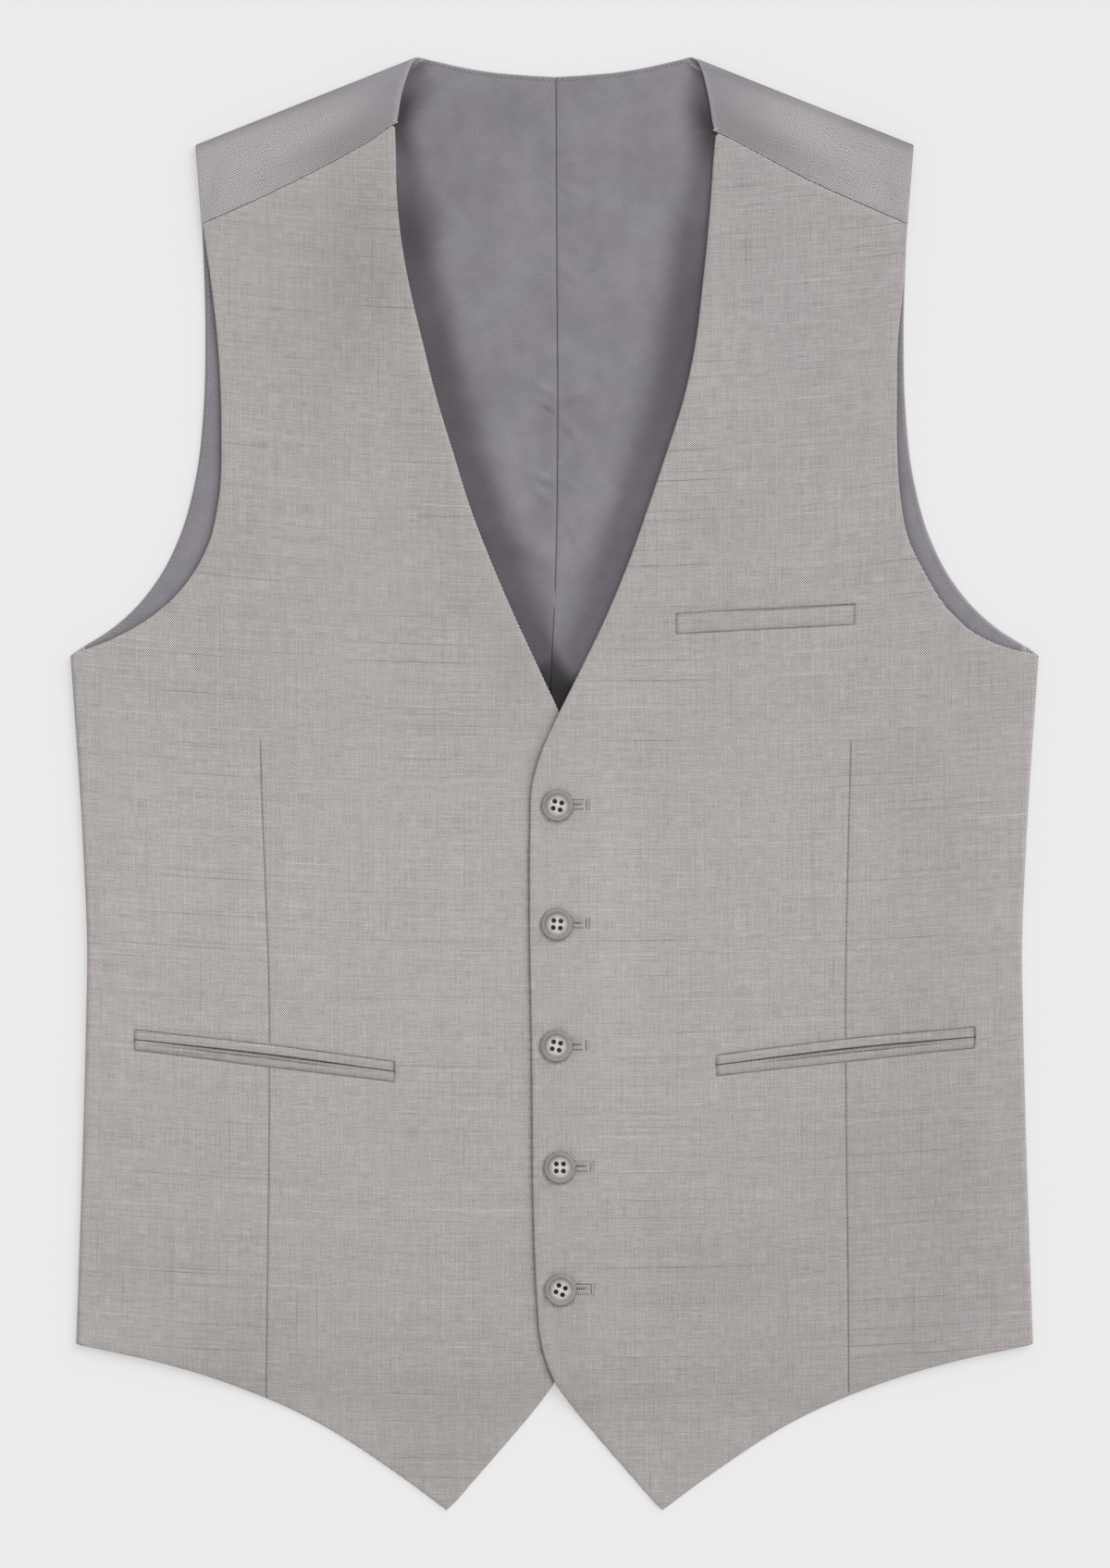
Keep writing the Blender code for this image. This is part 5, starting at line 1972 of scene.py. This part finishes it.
def add_front(name, side, finish):
    """Front with its seams, wrapped round the garment's side."""
    outline = front_outline(side)
    folds = fold_lines(SIDE_HEM_HEIGHT - SIDE_FOLD_BEYOND, UNDERARM_HEIGHT + SIDE_FOLD_BEYOND)
    nets = [(FACE_NET, None)]
    under_nets = [(FRONT_UNDER_NET, None)]
    piece = add_cloth(name, side, outline, lay_front(side), FRONT_THICKNESS, finish, nets, under_nets,
                      folds=folds, creases=front_creases(side), relief=front_relief(side),
                      shade=front_shade(side))
    return piece, outline


def jet_profile(opening, width, up, gape):
    """Cross-section of a jet from its seam to its rolled fold at the slit, and back underneath."""
    sign = 1 if up else -1
    profile = []
    for share, level, dark, by_gape in zip(*JET_PROFILE.values()):
        offset = sign * (opening / 2 * (1 - share) + share * width)
        seam = (JET_SEAM_FACING_LIGHT if up else JET_SEAM_IN_LEE) * (share > 0.95 and level > 0)
        profile.append((offset, level, dark + seam + (0.0 if up else by_gape) * gape))
    return profile[::-1] if up else profile


def add_hip_jets(name, side, finish):
    """Two jets of a hip pocket, folded towards the slit that opens a little between them."""
    own = np.linspace(HIP_SLIT["own"][0] - JET_REACH[side], HIP_SLIT["own"][-1], 110)
    path = np.column_stack((own, hip_slit(side, own)))
    share = (own - own[0]) / (own[-1] - own[0])
    opening = SLIT_OPENING * (0.62 + 0.5 * np.sin(math.pi * share) ** 2 * (1 + 0.3 * np.sin(9.0 * share)))
    gape = plateau(*JET_GAPE, share)
    jets = []
    for half, up in (("upper", True), ("lower", False)):
        profile = jet_profile(opening, jet_width(side, own, up), up, gape)
        jets.append(add_swept(f"{name}_{half}_fold", side, path, profile, finish))
    return jets


def add_chest_welt(name, finish):
    """Welt of the chest pocket: sewn in at its foot and sides, folded at its open top."""
    path = even((WELT_INNER, WELT_OUTER), 1.2)
    sway = WELT_SWAY * np.sin(2 * math.pi * np.linspace(0.0, 1.0, len(path)))
    profile = []
    for offset, level, dark in zip(*WELT_PROFILE.values()):
        profile.append((offset + sway * offset / WELT_WIDTH, level, dark))
    return add_swept(name, LEFT, path, profile, finish)


def turned(profile, sides):
    """Solid turned round Z from a profile of radii and heights."""
    form = bmesh.new()
    corners = [form.verts.new((radius, 0.0, height)) for radius, height in picked(profile, "radius height")]
    edges = [form.edges.new(pair) for pair in zip(corners, corners[1:])]
    bmesh.ops.spin(form, geom=corners + edges, cent=(0, 0, 0), axis=(0, 0, 1), angle=2 * math.pi,
                   steps=sides, use_merge=True)
    bmesh.ops.remove_doubles(form, verts=form.verts, dist=SAME_PLACE)
    bmesh.ops.recalc_face_normals(form, faces=form.faces)
    return form


def button_form():
    """Button in millimetres, with its four holes cut."""
    body = bpy.data.meshes.new("button_body")
    turned(BUTTON_PROFILE, BUTTON_SIDES).to_mesh(body)
    bars = bmesh.new()
    for across in (-0.5, 0.5):
        for up in (-0.5, 0.5):
            bar = turned(BUTTON_HOLE_PROFILE, BUTTON_HOLE_SIDES)
            bmesh.ops.translate(bar, verts=bar.verts, vec=Vector((across, up, 0.0)) * BUTTON_HOLE_SPACING)
            made = bpy.data.meshes.new("button_bar")
            bar.to_mesh(made)
            bars.from_mesh(made)
            bpy.data.meshes.remove(made)
    cutter_mesh = bpy.data.meshes.new("button_cutter")
    bars.to_mesh(cutter_mesh)
    button = bpy.data.objects.new("button_body", body)
    cutter = bpy.data.objects.new("button_cutter", cutter_mesh)
    for piece in (button, cutter):
        bpy.context.scene.collection.objects.link(piece)
    holes = button.modifiers.new("holes", "BOOLEAN")
    holes.operation = "DIFFERENCE"
    holes.solver = "EXACT"
    holes.object = cutter
    seen = button.evaluated_get(bpy.context.evaluated_depsgraph_get())
    result = bpy.data.meshes.new_from_object(seen)
    for piece in (button, cutter):
        bpy.data.objects.remove(piece, do_unlink=True)
    vertices = np.array([tuple(vertex.co) for vertex in result.vertices])
    faces = [tuple(face.vertices) for face in result.polygons]
    return vertices, faces


def button_lee(radius, facing_lee):
    """How much darker the dish's wall and the rim of a button are, as they face the light or not."""
    wall_tone = BUTTON_WALL_TONE[1] * facing_lee + BUTTON_WALL_TONE[0]
    rim_tone = BUTTON_RIM_TONE[0] - BUTTON_RIM_TONE[1] * facing_lee
    return plateau(*BUTTON_WALL, radius) * wall_tone + smooth(*BUTTON_RIM, radius) * rim_tone


def add_buttons(finish):
    """Row of buttons on the left front, each turned as it was sewn."""
    form, faces = button_form()
    level = FRONT_LEVEL + OVERLAP_RISE + FRONT_THICKNESS / 2 + SEAM_GAP
    radius = np.hypot(form[:, 0], form[:, 1])
    pieces = []
    for number, (across, height, turn) in enumerate(picked(BUTTONS, "across height turn"), start=1):
        angle = -math.radians(turn)
        placed = np.column_stack((
            across + form[:, 0] * math.cos(angle) - form[:, 1] * math.sin(angle),
            height + form[:, 0] * math.sin(angle) + form[:, 1] * math.cos(angle),
            level + form[:, 2],
        ))
        to_middle = (across - placed[:, 0]) * LEE[0] + (height - placed[:, 1]) * LEE[1]
        lee = button_lee(radius, to_middle / np.maximum(radius, 0.1))
        grain = form + (number * BUTTON_GRAIN_SHIFT, 0.0, 0.0)
        values = (("radius", radius), ("cut", grain), ("lee", lee))
        piece = add_mesh(f"horn_button_{number}", placed, faces, finish, values)
        piece.data.set_sharp_from_angle(angle=math.radians(BUTTON_SHARP_FROM))
        pieces.append(piece)
    return pieces


def on_surface(lay, cut, level):
    return lay(cut) + facing(lay, cut) * level


def hole_stitches(across, level, hole_end):
    """Places and turns of a buttonhole's stitches: its pale bands, and the dark marks beside them, along the
    slit and at the bar, which are painted shadow.
    """
    bar_at = hole_end - HOLE_BAR_AT
    row_start = across + HOLE_ROWS_FROM
    row_end = hole_end - HOLE_ROWS_BEFORE_END
    band = []
    marks = []
    for offset in HOLE_BAND_ROWS:
        for own in np.arange(row_start, row_end, HOLE_BAND_PITCH):
            band.append((own, level + offset, math.pi / 2 + 0.15))
    for offset in HOLE_MARK_ROWS:
        for own in np.arange(row_start, row_end, HOLE_MARK_PITCH):
            marks.append((own + 0.1 * offset, level + offset, HOLE_MARK_TURN))
    for own in np.arange(row_start, row_end - 1.2, HOLE_SLIT_PITCH):
        marks.append((own, level, 0.35))
    for row in HOLE_BAR_MARK_ROWS:
        for up in np.arange(-2.1, 2.2, HOLE_BAR_MARK_PITCH):
            marks.append((bar_at + row, level + up, HOLE_MARK_TURN))
    for up in np.arange(-2.2, 2.3, HOLE_BAR_PITCH):
        band.append((bar_at, level + up, 0.0))
    return band, marks


def add_buttonholes(finish, dark_finish):
    """Buttonholes of the left front: two rows of stitches beside the slit, and a bar at the end."""
    lay = lay_front(LEFT)
    pieces = []
    rows = picked(BUTTONS, "across height hole_end")
    for number, (across, height, hole_end) in enumerate(rows, start=1):
        band, marks = hole_stitches(across, height + HOLE_ABOVE, hole_end)
        for title, stitches, (length, radius), material in (
            ("band", band, HOLE_BAND_STITCH, finish),
            ("marks", marks, HOLE_MARK_STITCH, dark_finish),
        ):
            stitches = np.array(stitches)
            places = on_surface(lay, stitches[:, :2], FRONT_THICKNESS / 2)
            title = f"buttonhole_{number}_{title}"
            pieces.append(add_stitches(title, places, stitches[:, 2], length, radius, material))
    return pieces


def turns_along(line, slant):
    """Turn of a slanted stitch at each point of a line."""
    return np.arctan2(*directions(line)[:, ::-1].T) + slant


def on_side(side, turns):
    """Turns as they are on either side of the garment."""
    return turns if side == LEFT else math.pi - turns


def add_edge_stitches(name, side, line, finish):
    """Row of slanted stitches along a line on the lining."""
    line = even(line, EDGE_STITCH_PITCH)
    turns = on_side(side, turns_along(line, EDGE_STITCH_SLANT))
    places = on_surface(lay_lining(side), line, SATIN_THICKNESS / 2 - 0.1) * (side, 1, 1)
    return add_stitches(name, places, turns, *EDGE_STITCH, finish)


def add_centre_stitches(finish):
    """Stitches that draw the two halves of the lining together along the centre seam."""
    heights = np.arange(CENTRE_STITCHES_FROM, BACK_NECK["height"][0] - 2.0, CENTRE_STITCH_PITCH)
    across = reading(LINING_SEAM["height"], LINING_SEAM["across"], heights) - CENTRE_STITCH_INSIDE
    line = np.column_stack((across, heights))
    places = on_surface(lay_lining(LEFT), line, CENTRE_STITCH_LEVEL)
    return add_stitches("centre_stitches", places, np.full(len(line), math.pi / 2), *CENTRE_STITCH, finish)


def add_lining_stitches(name, side, finish, centre_finish):
    """Stitches inside the back neck and the armhole, and on the left half those of the centre seam."""
    neck = moved_right(drawn(BACK_NECK), EDGE_STITCH_INSIDE)
    neck = neck[(past_shoulder(neck) < -LINING_FROM_SHOULDER) & (neck[:, 0] > NECK_STITCHES_FROM)]
    armhole = moved_right(drawn(BACK_ARMHOLE), EDGE_STITCH_INSIDE)
    lowest, highest = ARMHOLE_STITCHES
    armhole = armhole[(armhole[:, 1] < highest) & (armhole[:, 1] > lowest)]
    rows = [
        add_edge_stitches(f"neck_stitches_{name}", side, neck, finish),
        add_edge_stitches(f"armhole_stitches_{name}", side, armhole, finish),
    ]
    if side == LEFT:
        rows.append(add_centre_stitches(centre_finish))
    return rows


def add_seam_stitches(name, side, finish):
    """Small stitches that show along the inner part of the shoulder seam, with a tuft at the neck."""
    line = even(moved_right(drawn(SHOULDER_SEAM[side]), -0.3), SEAM_STITCH_PITCH)
    turns = turns_along(line, SEAM_STITCH_SLANT)
    tuft = np.array(SEAM_TUFT) + line[0]
    turns = np.concatenate((turns, np.full(len(tuft), turns[0] + 0.5)))
    line = np.vstack((line, tuft))
    places = np.column_stack((side * line[:, 0], line[:, 1], np.full(len(line), STRIP_TOP - 0.06)))
    return add_stitches(f"seam_stitches_{name}", places, on_side(side, turns), *SEAM_STITCH, finish)


# Stage.


VIEW_HEIGHT = 728.85
VIEW_MIDDLE = (0.2, -0.43)
CAMERA_LEVEL = 4000.0
GARMENT_LEVEL = 2.0
SENSOR = 36.0
FLOOR_SIZE = 6000.0
FLOOR_BELOW = 0.05
FLOOR_COLOUR = (0.35, 0.35, 0.35)
FLOOR_GLOW = 0.465
WHITE = (1.0, 1.0, 1.0, 1.0)
KEY_FROM = (1.0, 1.05, 1.25)
KEY_STRENGTH = 1.97
KEY_SPREAD = 55.0
FILL_STRENGTH = 0.65


def add_floor():
    """Plain pale floor, partly glowing so that it stays even."""
    half = FLOOR_SIZE / 2 * MILLIMETRE
    corners = [(-half, -half, 0), (half, -half, 0), (half, half, 0), (-half, half, 0)]
    mesh = bpy.data.meshes.new("floor")
    mesh.from_pydata(corners, [], [(0, 1, 2, 3)])
    floor = bpy.data.objects.new("floor", mesh)
    bpy.context.scene.collection.objects.link(floor)
    floor.location.z = -FLOOR_BELOW * MILLIMETRE
    paper = Finish("floor_paper")
    place = paper.node("ShaderNodeTexCoord", output="Object")
    speck = paper.node("ShaderNodeTexNoise", sockets={"Vector": place, "Scale": 900.0})
    pale = paper.scaled(FLOOR_COLOUR, speck * 0.01 + 0.995)
    shader = paper.node("ShaderNodeBsdfPrincipled", sockets={
        "Base Color": pale,
        "Roughness": 0.9,
        "Specular IOR Level": 0.0,
        "Emission Color": WHITE,
        "Emission Strength": FLOOR_GLOW,
    })
    mesh.materials.append(paper.covered(shader))


def add_light():
    """Soft key from the upper right and an even fill."""
    key = bpy.data.lights.new("key", "SUN")
    key.energy = KEY_STRENGTH
    key.angle = math.radians(KEY_SPREAD)
    lamp = bpy.data.objects.new("key", key)
    lamp.rotation_euler = Vector(KEY_FROM).to_track_quat("Z", "Y").to_euler()
    bpy.context.scene.collection.objects.link(lamp)
    world = bpy.data.worlds.new("studio")
    world.use_nodes = True
    background = world.node_tree.nodes["Background"]
    background.inputs["Color"].default_value = WHITE
    background.inputs["Strength"].default_value = FILL_STRENGTH
    bpy.context.scene.world = world


def add_camera():
    """Camera straight above the garment."""
    lens = bpy.data.cameras.new("camera")
    lens.sensor_fit = "VERTICAL"
    lens.sensor_height = SENSOR
    lens.lens = SENSOR * (CAMERA_LEVEL - GARMENT_LEVEL) / VIEW_HEIGHT
    camera = bpy.data.objects.new("camera", lens)
    camera.location = Vector((*VIEW_MIDDLE, CAMERA_LEVEL)) * MILLIMETRE
    bpy.context.scene.collection.objects.link(camera)
    bpy.context.scene.camera = camera
    bpy.context.scene.view_settings.view_transform = "Standard"


# The waistcoat.


def declare(piece, nodes=()):
    """Say what a piece rides on, and hide the solids that it stands for."""
    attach(piece, "root")
    if nodes:
        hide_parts(*nodes)


def declare_sheet(piece, outline):
    """Work out the flat size and area that a cloth piece was cut to."""
    size = (outline.max(axis=0) - outline.min(axis=0)) * MILLIMETRE
    area = flat_area(outline) * MILLIMETRE ** 2


def build():
    """Make and declare every piece."""
    suiting = twill_finish("suiting_twill")
    jetting = twill_finish("jetting_twill", tint=0.95, lean=-1, rib=0.6, seed=5.0)
    shoulder_satin = strip_finish()
    lining_satin = lining_finish()
    horn = horn_finish()
    threads = {name: thread_finish(name, colour) for name, colour in THREAD_COLOURS.items()}

    for name, side in SIDES:
        back, back_cut = add_back(f"satin_back_{name}", side, shoulder_satin)
        declare(back, [f"back_{name}"])
        lining, lining_cut = add_lining(f"satin_lining_{name}", side, lining_satin)
        declare(lining, [f"back_lining_{name}"])
        stitches = add_lining_stitches(name, side, threads["seam_thread"], threads["centre_thread"])
        for row in stitches:
            declare(row)
        seam_row = add_seam_stitches(name, side, threads["shoulder_thread"])
        declare(seam_row)
        front, front_cut = add_front(f"twill_front_{name}", side, suiting)
        declare(front, [f"front_{name}"])
        trims = add_hip_jets(f"hip_jet_{name}", side, jetting)
        for jet, half in zip(trims, ("upper", "lower")):
            declare(jet, [f"hip_jet_{name}_{half}"])
        if side == LEFT:
            welt = add_chest_welt("chest_welt_fold", suiting)
            declare(welt, ["chest_welt"])
            holes = add_buttonholes(threads["buttonhole_thread"], threads["stitch_shadow_thread"])
            for hole in holes:
                declare(hole)
            trims += [welt] + holes
        declare_sheet(back, back_cut)
        declare_sheet(lining, lining_cut)
        declare_sheet(front, front_cut)

    for number, button in enumerate(add_buttons(horn), start=1):
        declare(button, [f"button_{number}"])


add_floor()
add_light()
add_camera()
build()
